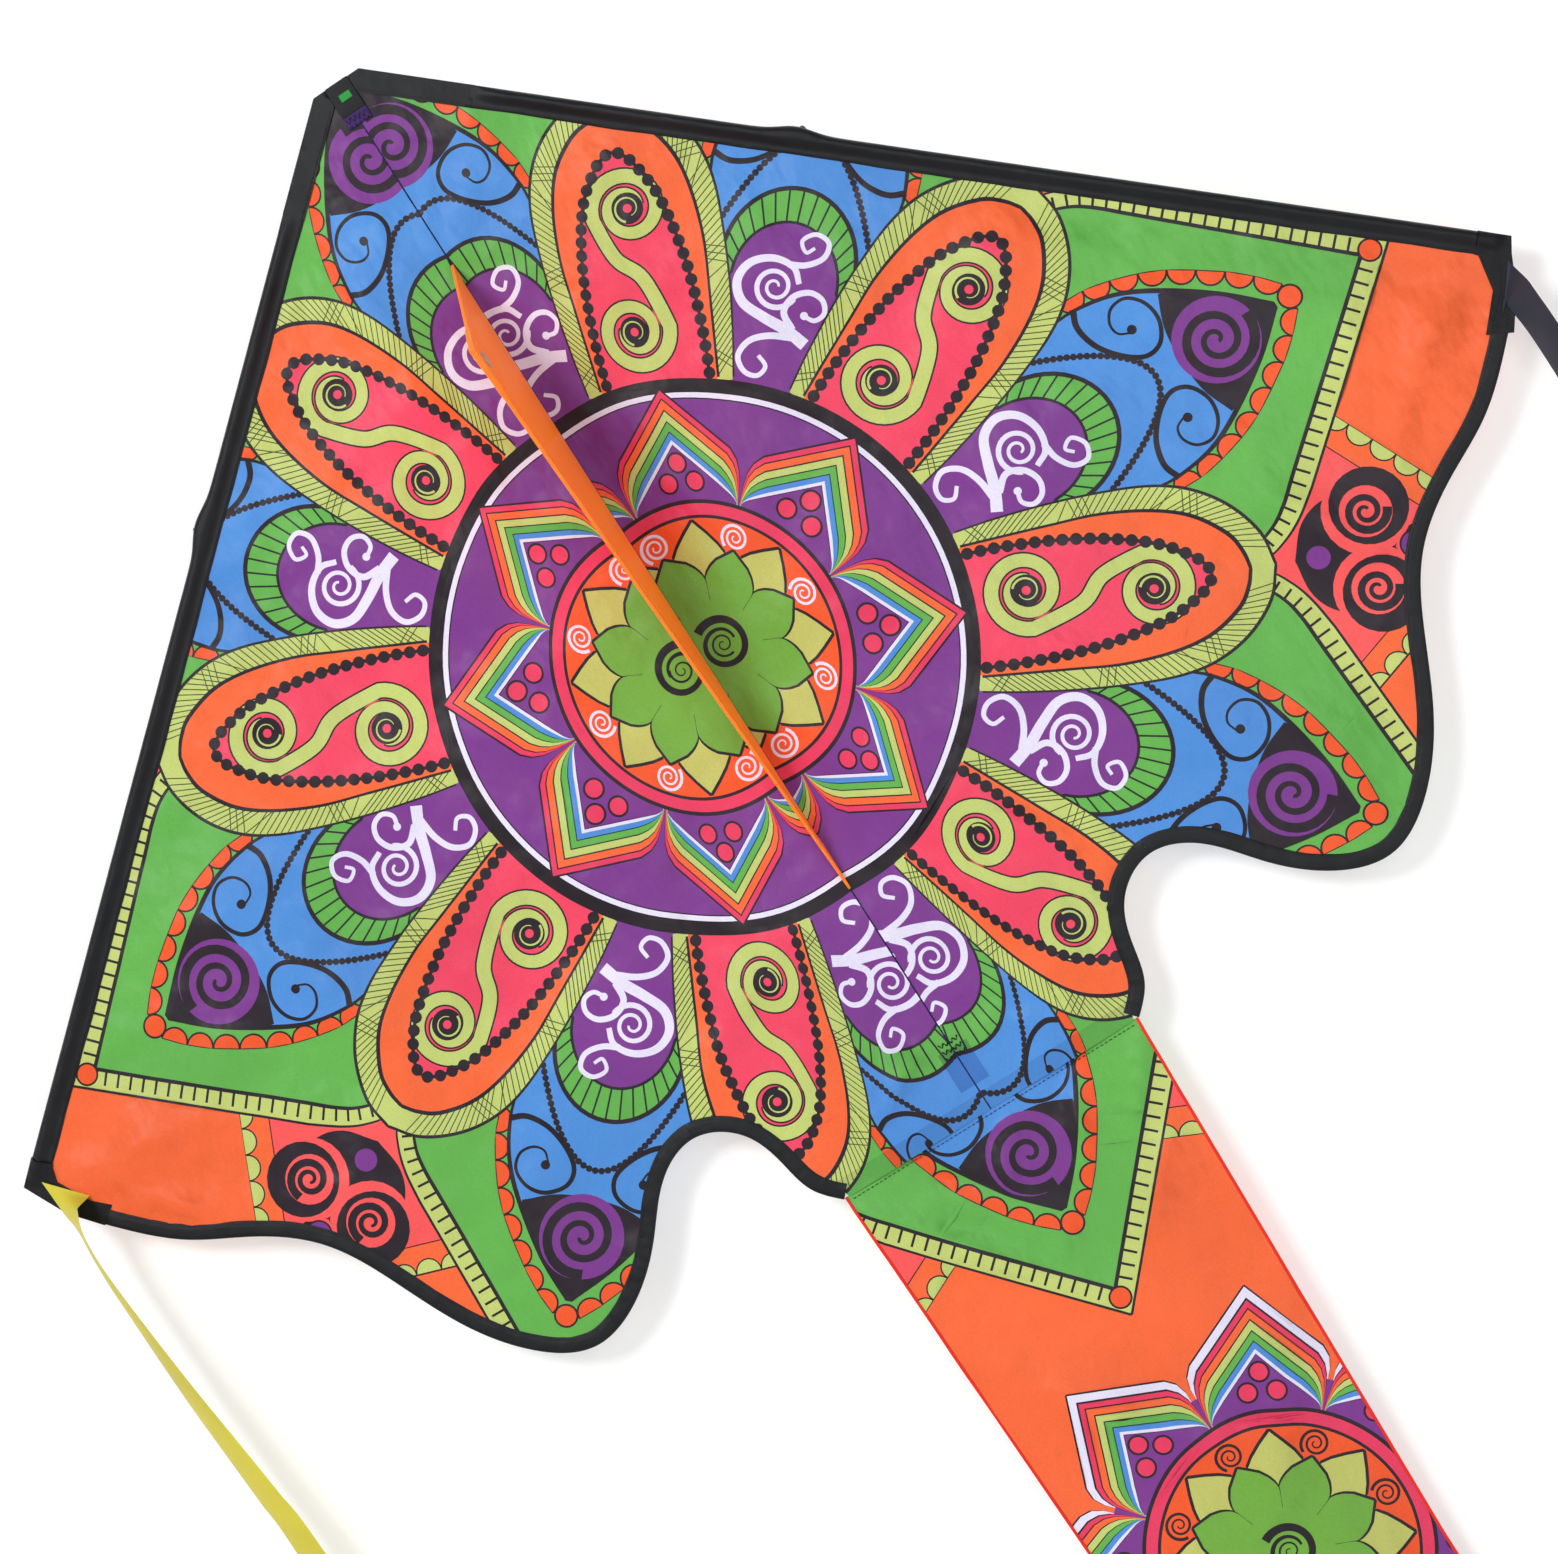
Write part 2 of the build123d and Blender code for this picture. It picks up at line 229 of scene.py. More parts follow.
def far_leaf():
    """The red ground between the leaves, with two spirals and a scalloped border."""
    tip = 527.0

    def diamond(inset):
        end = tip - inset * 1.45
        return np.array([(330, -(end - 330) * 0.9), (end, 0), (330, (end - 330) * 0.9)])

    rows = [("slate", diamond(-0.6)), ("orange", diamond(0.6))]
    edge = diamond(0)[1:]
    for side in (edge, edge * (1, -1)):
        spots, heading = along(side[::-1], 17.6)
        turn = math.pi / 2 if side[1][1] < 0 else -math.pi / 2
        for spot, angle in zip(spots, heading):
            rows += scallop(spot, 9.2, "lime", 8.2, angle + turn)
    rows += [("slate", diamond(19.6)), ("red", diamond(20.4))]
    neck = spline_through([(388, 0), (396, 24), (414, 38), (452, 46), (462, 22), (452, 0)], 6)
    rows.append(("slate", outline_of(neck)))
    for sign in (1, -1):
        barb = spline_through([(450, 8 * sign), (468, 12 * sign), (486, 28 * sign)], 6)
        rows.append(("slate", stroke(barb, 5)))
    for sign in (1, -1):
        middle = (437, 25.5 * sign)
        rows.append(("red", circle(middle, 28.5)))
        rows.append(("slate", circle((middle[0] + 2.5, middle[1] + 3.5 * sign), 25.5)))
        rows.append(("red", circle(middle, 17)))
        curl = coil(middle, 40, 1.9, 2.0, 14.0)
        rows.append(tapered("slate", curl, 2.0, 6.0))
    rows += dot((403, 0), 9, "purple", 7.7)
    rows += dot((464, 0), 9.5, "purple", 8.2)
    return rows


LEAF_EDGE = [(300, 139), (340, 138), (358, 134), (374, 126), (392, 112.5), (517, 0)]
LEAF_INNER = [(300, 126), (338, 126.5), (356, 122), (370, 113), (385, 99.5), (496, 0)]
SCALLOP_LINE = [(318, 71), (345, 69.5), (382, 58), (416, 37), (434, 22), (446, 9)]
BLUE_EDGE = [(190, 56), (300, 61), (324, 62), (352, 57), (378, 44), (408, 23), (433, 0)]


def bent(points):
    """A smooth half outline whose last run stays straight."""
    return np.vstack([spline_through(points[:-1], 8), points[-1:]])


def leaf():
    """The blue leaf with its green border and ladder edge."""
    outer, inner = bent(LEAF_EDGE), bent(LEAF_INNER)
    rows = rimmed("lime", outer, (1.5, 1.0))
    for sign in (1, -1):
        spots, heading = along(outer[4:], 9.2)
        for spot, angle in zip(spots[:-1], heading):
            across = np.array((math.cos(angle - math.pi / 2), math.sin(angle - math.pi / 2)))
            rung = np.array([spot + across * 2.6, spot + across * 16])
            rows.append(("slate", stroke(rung * (1, sign), 1.7)))
    rows += rimmed("green", inner, (2.6, 1.2))
    rows += dot((504.5, 0), 8.0, "flame", 6.6)
    line = spline_through(SCALLOP_LINE, 8)
    for sign in (1, -1):
        rows.append(("slate", stroke(line * (1, sign), 1.5)))
        spots, heading = along(line, 18.4)
        for spot, angle in zip(spots, heading):
            rows += scallop(spot * (1, sign), 9.7, "flame", 8.4, sign * (angle - math.pi / 2))
    rows += dot((446, 0), 8.4, "flame", 7.0)
    edge = spline_through(BLUE_EDGE, 8)
    rows += rimmed("blue", edge, (2.8, 2.2))
    half = edge[edge[:, 0] > 377]
    concave = spline_through([(365, 0), (368, 24), (376, 44.5)], 6)
    rows.append(("slate", outline_of(np.vstack([concave, half]))))
    rows.append(("purple", circle((392, 0), 28.5, 36)))
    curl = coil((392, 0), -60, 2.2, 1.5, 25.5, 60)
    rows.append(tapered("slate", curl, 2.5, 7.0))
    arch = np.array([(347 - 0.0265 * v * v, v) for v in np.linspace(-52, 52, 27)])
    rows.append(("slate", stroke(arch, 1.7)))
    spots, _ = along(arch, 4.3)
    for spot in spots:
        rows.append(("slate", circle(spot, 2.35, 8)))
    sweep = [
        (325, 64), (321, 52), (325, 36), (336, 22), (349, 14), (361, 17), (368, 30),
        (366, 44), (357, 53), (346, 52), (340, 44), (341, 36), (348, 32),
    ]
    for sign in (1, -1):
        path = spline_through(sweep, 5) * (1, sign)
        rows.append(tapered("ink", path, 4.2, 1.3))
        rows.append(("ink", circle((350, 33.5 * sign), 3.2, 14)))
    return rows


def small_petal():
    """The purple petal with its green rim and pale curls."""

    def oval(center, along_u, across):
        angle = np.linspace(-math.pi, math.pi, 48, endpoint=False)
        return np.stack([center + along_u * np.cos(angle), across * np.sin(angle)], 1)

    rows = [("slate", oval(262, 52.5, 45.5)), ("green", oval(262, 49.5, 42.5))]
    for step in range(-8, 9):
        angle = math.radians(step * 12.5)
        ray = np.array([
            (250 + 36 * math.cos(angle), 30 * math.sin(angle)),
            (262 + 50 * math.cos(angle), 43 * math.sin(angle)),
        ])
        rows.append(("slate", stroke(ray, 1.25)))
    rows += [("slate", oval(250, 41.5, 36)), ("purple", oval(250, 39.6, 34))]
    ground = np.array([(176, -54), (176, 54), (240, 40), (252, 33), (252, -33), (240, -40)])
    rows.append(("purple", ground))
    stem = [
        (214, -22), (221, -8), (226, 8), (233, 24), (246, 30), (259, 24), (265, 10), (262, -4), (252, -10),
    ]
    left = [(217, -14), (215, 2), (209, 14), (198, 19), (189, 13), (188, 4), (195, 0), (201, 6)]
    right = [(263, 0), (265, -12), (272, -22), (282, -23), (286, -14), (280, -6), (273, -10), (277, -15)]
    low = [(222, -12), (232, -4), (243, -8), (248, -18), (245, -27), (237, -30), (231, -25), (232, -18)]
    for line, first, last in (
        (spline_through(stem, 6), 8, 3.6),
        (coil((247, 5), 250, -1.9, 14.5, 2.2, 56), 3.8, 1.6),
        (spline_through(left, 6), 4.6, 2.6),
        (spline_through(right, 6), 4.2, 2.2),
        (spline_through(low, 6), 4.6, 2.8),
    ):
        rows.append(tapered("pale", line, first, last))
    rows.append(("pale", circle((232.5, -17.5), 2.7, 12)))
    return rows


PETAL_EDGE = [
    (176, 52.5), (203, 57), (237, 61), (270, 63), (303, 62.5), (329, 56.5), (352, 42.5),
    (369, 22), (375.5, 0),
]
PETAL_BAND = [
    (177, 42.5), (203, 44.5), (237, 47), (270, 49), (303, 46), (328, 38.5), (348, 24),
    (356, 11), (359, 0),
]
PETAL_BEADS = [
    (178, 37.5), (203, 38.5), (237, 37.5), (270, 33.5), (303, 25), (325, 13), (333, 5),
    (335, 0),
]


def petal():
    """The large petal: hatched lime border, orange band, beads and a double spiral."""
    edge, band_line = spline_through(PETAL_EDGE, 6), spline_through(PETAL_BAND, 6)
    beads = spline_through(PETAL_BEADS, 6)
    rows = [("slate", outline_of(edge + (1.1, 1.1))), ("lime", outline_of(edge - (0.5, 0.5)))]
    outer_spots, _ = along(edge, 4.9)
    inner_spots, _ = along(band_line, 4.9 * 0.93)
    count = min(len(outer_spots), len(inner_spots))
    for sign in (1, -1):
        for i in range(3, count):
            if i % 15 == 1:
                continue
            shift = 3 if (i // 15) % 2 == 0 else 1
            line = np.array([outer_spots[i], inner_spots[i - shift]]) * (1, sign)
            rows.append(("hatch", stroke(line, 0.75)))
            if i % 15 in (2, 3, 4):
                back = np.array([outer_spots[i - 2], inner_spots[i]]) * (1, sign)
                rows.append(("hatch", stroke(back, 0.75)))
    rows.append(("slate", outline_of(band_line + (1.7, 1.5))))
    rows.append(("orange", outline_of(band_line - (0.4, 0.4))))
    rows.append(("rose", outline_of(beads)))
    first, second = (216, 8), (297, -4)
    opening = coil(first, 70, 1.56, 8.5, 25.5, 56)
    closing = coil(second, 100, -1.5, 24.5, 8.5, 56)
    link = spline_through([opening[-2], opening[-1], (250, -6), (266, 10), closing[0], closing[1]], 8)
    path = np.vstack([opening[:-1], link[8:-8], closing[1:]])
    share = np.linspace(-1, 1, len(path))
    width = 9.4 - 5.6 * np.abs(share) ** 2.4
    rows.append(("slate", stroke(path, width + 2.4)))
    rows.append(("lime", stroke(path, width)))
    for middle in (first, second):
        rows += [("slate", circle(middle, 10.5)), ("rose", circle(middle, 3.0, 10))]
        ring = coil(middle, 200, 0.9, 5.2, 9.0, 20)
        rows.append(tapered("lime", ring, 0.5, 1.6))
    for side in (beads, mirrored(beads)):
        rows.append(("slate", stroke(side, 2.4)))
    whole = np.vstack([beads, mirrored(beads)[1:]])
    for spot in along(whole, 8.8)[0]:
        rows.append(("slate", circle(spot, 4.1, 12)))
    return rows


STAR_OUTER = [(92, 37.6), (100, 40.5), (108, 43), (116, 45), (124, 45), (132, 42), (177, 0)]
STAR_INNER = [(94, 37.2), (97, 36.4), (100, 34.6), (103, 32), (107, 28.5), (111, 25), (138, 0)]
STAR_STEPS = [
    (0.0, "slate"), (0.05, "pink"), (0.18, "slate"), (0.215, "orange"), (0.38, "slate"),
    (0.415, "lime"), (0.58, "slate"), (0.61, "green"), (0.765, "slate"), (0.79, "blue"),
    (0.92, "pale"), (1.0, "slate"), (1.02, "purple"),
]


def star_point(halo=False):
    """One point of the rainbow star, with its three dots."""
    outer, inner = np.array(STAR_OUTER), np.array(STAR_INNER)
    rows = []
    if halo:
        grown = outer + np.array([(0, 0), (1, 0.5), (3, 1), (4, 2.5), (4, 3.4), (4, 3.4), (7.5, 0)])
        rows += rimmed("pale", grown, (1.2, 0.6))
    for share, color in STAR_STEPS:
        half = outer + (inner - outer) * share
        body = np.vstack([[(84, half[0][1] - 6)], half])
        rows.append((color, outline_of(body)))
    for spot in ((112, 10), (112, -10), (125.5, 0)):
        rows += dot(spot, 7.5, "pink", 5.9, 20)
    return rows


GREEN_PETAL = [(20, 8.3), (30.5, 12.6), (41.6, 17.0), (50, 15.6), (57, 11.4), (66.5, 0)]
SAND_PETAL = [(40, 12), (61, 18.5), (68, 14.5), (76, 8), (84.5, 0)]


def sand_petal():
    return rimmed("sand", np.array(SAND_PETAL), (1.9, 1.3))


def green_petal():
    return rimmed("olive", bent(GREEN_PETAL), (1.7, 1.1))


def ring_curl(color):
    curl = coil((76.5, 0), 30, 2.3, 1.2, 10.2, 48)
    return [tapered(color, curl, 0.9, 2.3)]


# ---------------------------------------------------------------- the whole print
def turned(rows, center, sectors, offset=0.0, scale=1.0):
    """The rows of one sector, turned to each of the sectors and moved to the centre."""
    out = []
    for sector in sectors:
        angle = math.radians(45 * sector + offset)
        c, s = math.cos(angle) * scale, math.sin(angle) * scale
        spin = np.array([(c, s), (-s, c)])
        out += [(color, points @ spin + center) for color, points in rows]
    return out


def droop(points):
    """The print hangs a little lower towards the wing tips."""
    points = np.array(points, float)
    points[:, 1] -= 12.0 * (points[:, 0] / 508.0) ** 2
    return points


def rosette(center, eyes, scale=1.0, curls="pale"):
    """The disc in the middle of the star: pink ring, orange ground, petals and curls."""
    every = range(8)
    at = np.array(center, float)
    rows = dot(at, 100.0 * scale, "pink", 97.3 * scale, 96)
    rows += dot(at, 89.4 * scale, "flame", 87.2 * scale, 96)
    rows += turned(ring_curl(curls), at, every, 0, scale)
    rows += turned(sand_petal(), at, every, 22.5, scale)
    rows += turned(green_petal(), at, every, 0, scale)
    rows.append(("olive", circle(at, 31 * scale, 32)))
    for offset, sign in eyes:
        middle = at + (offset * scale, 0)
        wide = coil(middle, 90 - 90 * sign, 1.35 * sign, 9.0 * scale, 18.0 * scale, 44)
        rows.append(tapered("ink", wide, 1.8, 6.0))
        fine = coil(middle, 40, 1.7 * sign, 1.2, 8.6, 32)
        rows.append(tapered("ink", fine, 0.7, 1.7))
    return rows


def spread(points, side):
    """Each half is cut with some of the print past its middle, so that what lies there shows twice."""
    points = np.array(points, float)
    across = points[:, 0] * side
    extra = 8.0 - 0.0118 * points[:, 1]
    t = np.clip(across / 110.0, 0, 1)
    points[:, 0] = side * (across + extra * (1 - t * t * (3 - 2 * t)))
    return points


def sail_print(side):
    """Every outline of one half's print, from the ground up, in (x, z)."""
    at = np.array(PRINT_CENTER)
    every = range(8)
    rows = turned(far_leaf(), at, every, 22.5)
    rows += turned(leaf(), at, every)
    rows += turned(small_petal(), at, every)
    rows += turned(petal(), at, every, 22.5)
    rows += [("ink", circle(at, 182.5, 128)), ("pale", circle(at, 173, 128))]
    rows += dot(at, 169.5, "purple", 168.6, 128)
    rows += turned(star_point(), at, every, 22.5)
    rows += rosette(at, [(3.0 * side, side)])
    own = [row for row in rows if row[0] != "ink" or row[1][:, 0].mean() * side > -2]
    return [(color, spread(droop(points), side)) for color, points in own]


def tail_print():
    """The tail repeats the leaf below the sail and then a ringed star."""
    at = np.array(PRINT_CENTER) + (5.0, 2.0)
    low = (5, 6, 7)
    rows = turned(far_leaf(), at, low[:2], 22.5)
    rows += turned(leaf(), at, low)
    for drop in (-1150.0, -1690.0, -2230.0):
        star = np.array((9.0, drop))
        rows += turned(star_point(True)[:2], star, range(8), 22.5, 0.97)
        rows += [("purple", circle(star, 118, 96))]
        rows += turned(star_point(), star, range(8), 22.5, 0.97)
        rows += rosette(star, [(0.0, 1)], 0.97, "slate")
    return rows


# ---------------------------------------------------------------- printed cloth as a mesh
def inside(outline, spots):
    """Which spots lie inside a closed outline."""
    x, y = spots[:, 0], spots[:, 1]
    hit = np.zeros(len(spots), bool)
    ax, ay = outline[-1]
    for bx, by in outline:
        if ay != by:
            crosses = (ay > y) != (by > y)
            if crosses.any():
                hit[crosses] ^= x[crosses] < (bx - ax) * (y[crosses] - ay) / (by - ay) + ax
        ax, ay = bx, by
    return hit


def overlaps(points, low, high):
    """Whether the points' box meets the box from low to high."""
    return (points.min(0) < high).all() and (points.max(0) > low).all()


def triangulated(border, chains, spacing):
    """Points and triangles over a border's box: every closed chain's edges, and a grid inside the border."""
    low, high = border.min(0), border.max(0)
    spots, edges = [], []
    for chain in chains:
        start = len(spots)
        spots += [Vector(p) for p in chain]
        count = len(chain)
        edges += [(start + i, start + (i + 1) % count) for i in range(count)]
    gx = np.arange(low[0] + spacing / 2, high[0], spacing)
    gz = np.arange(low[1] + spacing / 2, high[1], spacing)
    grid = np.array([(x, z) for x in gx for z in gz])
    spots += [Vector(p) for p in grid[inside(border, grid)]]
    verts, _, faces, _, _, _ = delaunay_2d_cdt(spots, edges, [], 0, 1e-3, False)
    return np.array([tuple(v) for v in verts]), np.array([f for f in faces if len(f) == 3])


# painted shade: the cloth is darkened where the webbing pocket and the turned-in seam allowance lie behind it
# and keep light from coming through
PAINTED_SHADES = {"pocket": (0.62, 0.64, 0.76), "turning": (0.80, 0.82, 0.84)}


def printed_mesh(name, border, rows, ground, spacing, shape):
    """A sheet inside border, coloured by the rows, with shape(x, z) giving its y."""
    border = np.asarray(border, float)
    low, high = border.min(0), border.max(0)
    rows = [row for row in rows if overlaps(row[1], low, high)]
    flat, tris = triangulated(border, [border] + [points for _, points in rows], spacing)
    middle = flat[tris].mean(1)
    a, b, c = flat[tris[:, 0]], flat[tris[:, 1]], flat[tris[:, 2]]
    area = 0.5 * ((b - a)[:, 0] * (c - a)[:, 1] - (b - a)[:, 1] * (c - a)[:, 0])
    keep = inside(border, middle) & (np.abs(area) > 1e-4)
    tris, middle = tris[keep], middle[keep]
    shade = np.empty((len(tris), 3))
    shade[:] = linear(PALETTE[ground])
    for color, points in rows:
        near = ((middle > points.min(0)) & (middle < points.max(0))).all(1)
        index = np.nonzero(near)[0]
        # a shade row darkens the colour under it: painted shade where the pocket and the seam allowance
        # behind the cloth keep light from coming through
        if len(index) and color in PAINTED_SHADES:
            shade[index[inside(points, middle[index])]] *= PAINTED_SHADES[color]
        elif len(index):
            shade[index[inside(points, middle[index])]] = linear(PALETTE[color])
    used = np.unique(tris)
    renumber = np.full(len(flat), -1)
    renumber[used] = np.arange(len(used))
    tris, flat = renumber[tris], flat[used]
    y = shape(flat[:, 0], flat[:, 1])
    points = np.stack([flat[:, 0], y, flat[:, 1]], 1) * MM
    mesh = bpy.data.meshes.new(name)
    mesh.from_pydata(points.tolist(), [], tris.tolist())
    mesh.update()
    paint = mesh.color_attributes.new("print", "FLOAT_COLOR", "CORNER")
    corner = np.repeat(np.hstack([shade, np.ones((len(shade), 1))]), 3, axis=0)
    paint.data.foreach_set("color", corner.astype(np.float32).ravel())
    step = 0.5
    dx = (shape(flat[:, 0] + step, flat[:, 1]) - shape(flat[:, 0] - step, flat[:, 1])) / (2 * step)
    dz = (shape(flat[:, 0], flat[:, 1] + step) - shape(flat[:, 0], flat[:, 1] - step)) / (2 * step)
    normal = np.stack([dx, -np.ones(len(flat)), dz], 1)
    normal /= np.linalg.norm(normal, axis=1)[:, None]
    facing = mesh.polygons[0].normal.y if len(mesh.polygons) else -1
    if facing > 0:
        mesh.flip_normals()
    mesh.polygons.foreach_set("use_smooth", [True] * len(mesh.polygons))
    mesh.normals_split_custom_set_from_vertices(normal.tolist())
    return mesh


# ---------------------------------------------------------------- node helpers
def new_material(name):
    """A material with nodes, its tree and its shader."""
    material = bpy.data.materials.new(name)
    material.use_nodes = True
    tree = material.node_tree
    shader = tree.nodes["Principled BSDF"]
    return material, tree, shader


def add(tree, kind, **settings):
    """A node with its properties, or else its sockets, set by name."""
    node = tree.nodes.new(kind)
    for key, value in settings.items():
        if hasattr(node, key):
            setattr(node, key, value)
        else:
            node.inputs[key].default_value = value
    return node


def set_socket(node, name, value):
    node.inputs[name].default_value = value


def coordinates(tree):
    """The place on the object in metres, which moves with the object."""
    return add(tree, "ShaderNodeTexCoord").outputs["Object"]


def noise(tree, where, scale, detail=4.0, stretch=(1, 1, 1)):
    """A noise texture's factor; a stretch below 1 draws it out along that axis."""
    mapping = add(tree, "ShaderNodeMapping")
    set_socket(mapping, "Scale", stretch)
    tree.links.new(where, mapping.inputs["Vector"])
    node = add(tree, "ShaderNodeTexNoise")
    set_socket(node, "Scale", scale)
    set_socket(node, "Detail", detail)
    tree.links.new(mapping.outputs["Vector"], node.inputs["Vector"])
    return node.outputs["Fac"]


# a wave texture repeats its bands every WAVE_PERIOD / scale
WAVE_PERIOD = 0.314159


def weave(tree, where, pitch):
    """Crossing threads over x and z, at a pitch in metres, as a height."""
    parts = []
    for direction in ("X", "Z"):
        wave = add(tree, "ShaderNodeTexWave", wave_type="BANDS", bands_direction=direction)
        set_socket(wave, "Scale", WAVE_PERIOD / pitch)
        set_socket(wave, "Distortion", 0.6)
        set_socket(wave, "Detail", 1.0)
        tree.links.new(where, wave.inputs["Vector"])
        parts.append(wave.outputs["Fac"])
    both = add(tree, "ShaderNodeMath", operation="MAXIMUM")
    tree.links.new(parts[0], both.inputs[0])
    tree.links.new(parts[1], both.inputs[1])
    return both.outputs[0]


def bumped(tree, shader, layers):
    """Chains (height, strength, distance) bumps into the shader's normal."""
    last = None
    for height, strength, distance in layers:
        bump = add(tree, "ShaderNodeBump")
        set_socket(bump, "Strength", strength)
        set_socket(bump, "Distance", distance)
        tree.links.new(height, bump.inputs["Height"])
        if last is not None:
            tree.links.new(last, bump.inputs["Normal"])
        last = bump.outputs["Normal"]
    tree.links.new(last, shader.inputs["Normal"])


def ramped(tree, fac, low, high, start=0.3, end=0.7):
    """A two-colour ramp over a factor; colours are linear triples."""
    ramp = add(tree, "ShaderNodeValToRGB")
    ramp.color_ramp.elements[0].position = start
    ramp.color_ramp.elements[1].position = end
    ramp.color_ramp.elements[0].color = (*low, 1)
    ramp.color_ramp.elements[1].color = (*high, 1)
    tree.links.new(fac, ramp.inputs["Fac"])
    return ramp.outputs["Color"]


def multiplied(tree, a, b):
    """One colour times another."""
    mix = add(tree, "ShaderNodeMix", data_type="RGBA", blend_type="MULTIPLY")
    mix.inputs[0].default_value = 1.0
    tree.links.new(a, mix.inputs[6])
    tree.links.new(b, mix.inputs[7])
    return mix.outputs[2]


def printed_cloth():
    """Printed polyester: the print's colours, faint mottling, weave and soft creases."""
    material, tree, shader = new_material("printed_polyester")
    where = coordinates(tree)
    paint = add(tree, "ShaderNodeVertexColor", layer_name="print")
    mottle = ramped(tree, noise(tree, where, 9, 3), (0.90, 0.90, 0.91), (1.05, 1.05, 1.04), 0.25, 0.75)
    grain = ramped(tree, noise(tree, where, 900, 2), (0.93, 0.93, 0.93), (1.04, 1.04, 1.04))
    color = multiplied(tree, multiplied(tree, paint.outputs["Color"], mottle), grain)
    tree.links.new(color, shader.inputs["Base Color"])
    set_socket(shader, "Roughness", 0.46)
    set_socket(shader, "Specular IOR Level", 0.22)
    set_socket(shader, "Sheen Weight", 0.03)
    set_socket(shader, "Sheen Roughness", 0.5)
    bumped(tree, shader, [
        (noise(tree, where, 13, 2), 1.0, 0.016),
        (noise(tree, where, 55, 2, (1, 1, 0.6)), 0.9, 0.0034),
        (weave(tree, where, 0.0009), 0.25, 0.00012),
    ])
    return material


def plain_cloth(name, color, variation, rough, pitch, creases, sheen, translucency_and_painted_glow=0.0):
    """Dyed cloth with its own mottling, threads and small creases; the last argument gives translucency and a
    painted glow, an emission that lightens the cloth where it lies in shade.
    """
    material, tree, shader = new_material(name)
    where = coordinates(tree)
    base = linear(color)
    low = tuple(value * (1 - variation) for value in base)
    high = tuple(min(value * (1 + variation), 1) for value in base)
    tone = ramped(tree, noise(tree, where, 22, 4), low, high)
    threads = weave(tree, where, pitch)
    fleck = ramped(tree, threads, (0.82, 0.82, 0.82), (1.06, 1.06, 1.06), 0.1, 0.9)
    tree.links.new(multiplied(tree, tone, fleck), shader.inputs["Base Color"])
    set_socket(shader, "Roughness", rough)
    set_socket(shader, "Specular IOR Level", 0.22)
    set_socket(shader, "Sheen Weight", sheen)
    set_socket(shader, "Sheen Roughness", 0.45)
    if translucency_and_painted_glow:
        set_socket(shader, "Subsurface Weight", translucency_and_painted_glow)
        set_socket(shader, "Subsurface Radius", (1.0, 0.45, 0.2))
        set_socket(shader, "Subsurface Scale", 0.004)
        # painted glow: a steady emission in the cloth's own colour that lightens its shaded face, though the
        # cloth is no lamp
        set_socket(shader, "Emission Color", (*base, 1))
        set_socket(shader, "Emission Strength", 0.24 * translucency_and_painted_glow)
    bumped(tree, shader, [
        (noise(tree, where, 45, 3), creases, 0.002),
        (threads, 0.4, 0.0002),
    ])
    return material


def rod_material():
    """Pultruded fibreglass: near black, with long fine streaks."""
    material, tree, shader = new_material("fibreglass_rod")
    where = coordinates(tree)
    streak = noise(tree, where, 700, 3, (1, 1, 0.03))
    color = ramped(tree, streak, linear((0.09, 0.09, 0.10)), linear((0.17, 0.17, 0.18)))
    tree.links.new(color, shader.inputs["Base Color"])
    set_socket(shader, "Roughness", 0.34)
    bumped(tree, shader, [(streak, 0.2, 0.0002)])
    return material


def moulded(name, color, rough, grain):
    """Moulded vinyl or nylon, with a fine grain of lighter specks."""
    material, tree, shader = new_material(name)
    where = coordinates(tree)
    speck = noise(tree, where, grain, 4)
    base = linear(color)
    color_out = ramped(tree, speck, base, tuple(value * 1.7 + 0.004 for value in base))
    tree.links.new(color_out, shader.inputs["Base Color"])
    set_socket(shader, "Roughness", rough)
    bumped(tree, shader, [(speck, 0.25, 0.0003), (noise(tree, where, 60, 2), 0.2, 0.0006)])
    return material


def metal():
    """Plated brass eyelet with fine turning marks."""
    material, tree, shader = new_material("plated_eyelet")
    where = coordinates(tree)
    marks = noise(tree, where, 1500, 3, (1, 0.2, 0.2))
    color = ramped(tree, marks, (0.46, 0.46, 0.48), (0.68, 0.68, 0.70))
    tree.links.new(color, shader.inputs["Base Color"])
    set_socket(shader, "Metallic", 1.0)
    set_socket(shader, "Roughness", 0.28)
    bumped(tree, shader, [(marks, 0.15, 0.0002)])
    return material


PRINT = printed_cloth()
# name, sRGB colour, variation, roughness, pitch of the threads in metres, creases, sheen, translucency with
# painted glow
SLEEVE = plain_cloth("sleeve_cloth", (0.075, 0.08, 0.095), 0.3, 0.4, 0.0008, 0.7, 0.0)
WEBBING = plain_cloth("webbing", (0.065, 0.068, 0.08), 0.3, 0.55, 0.0016, 0.5, 0.0)
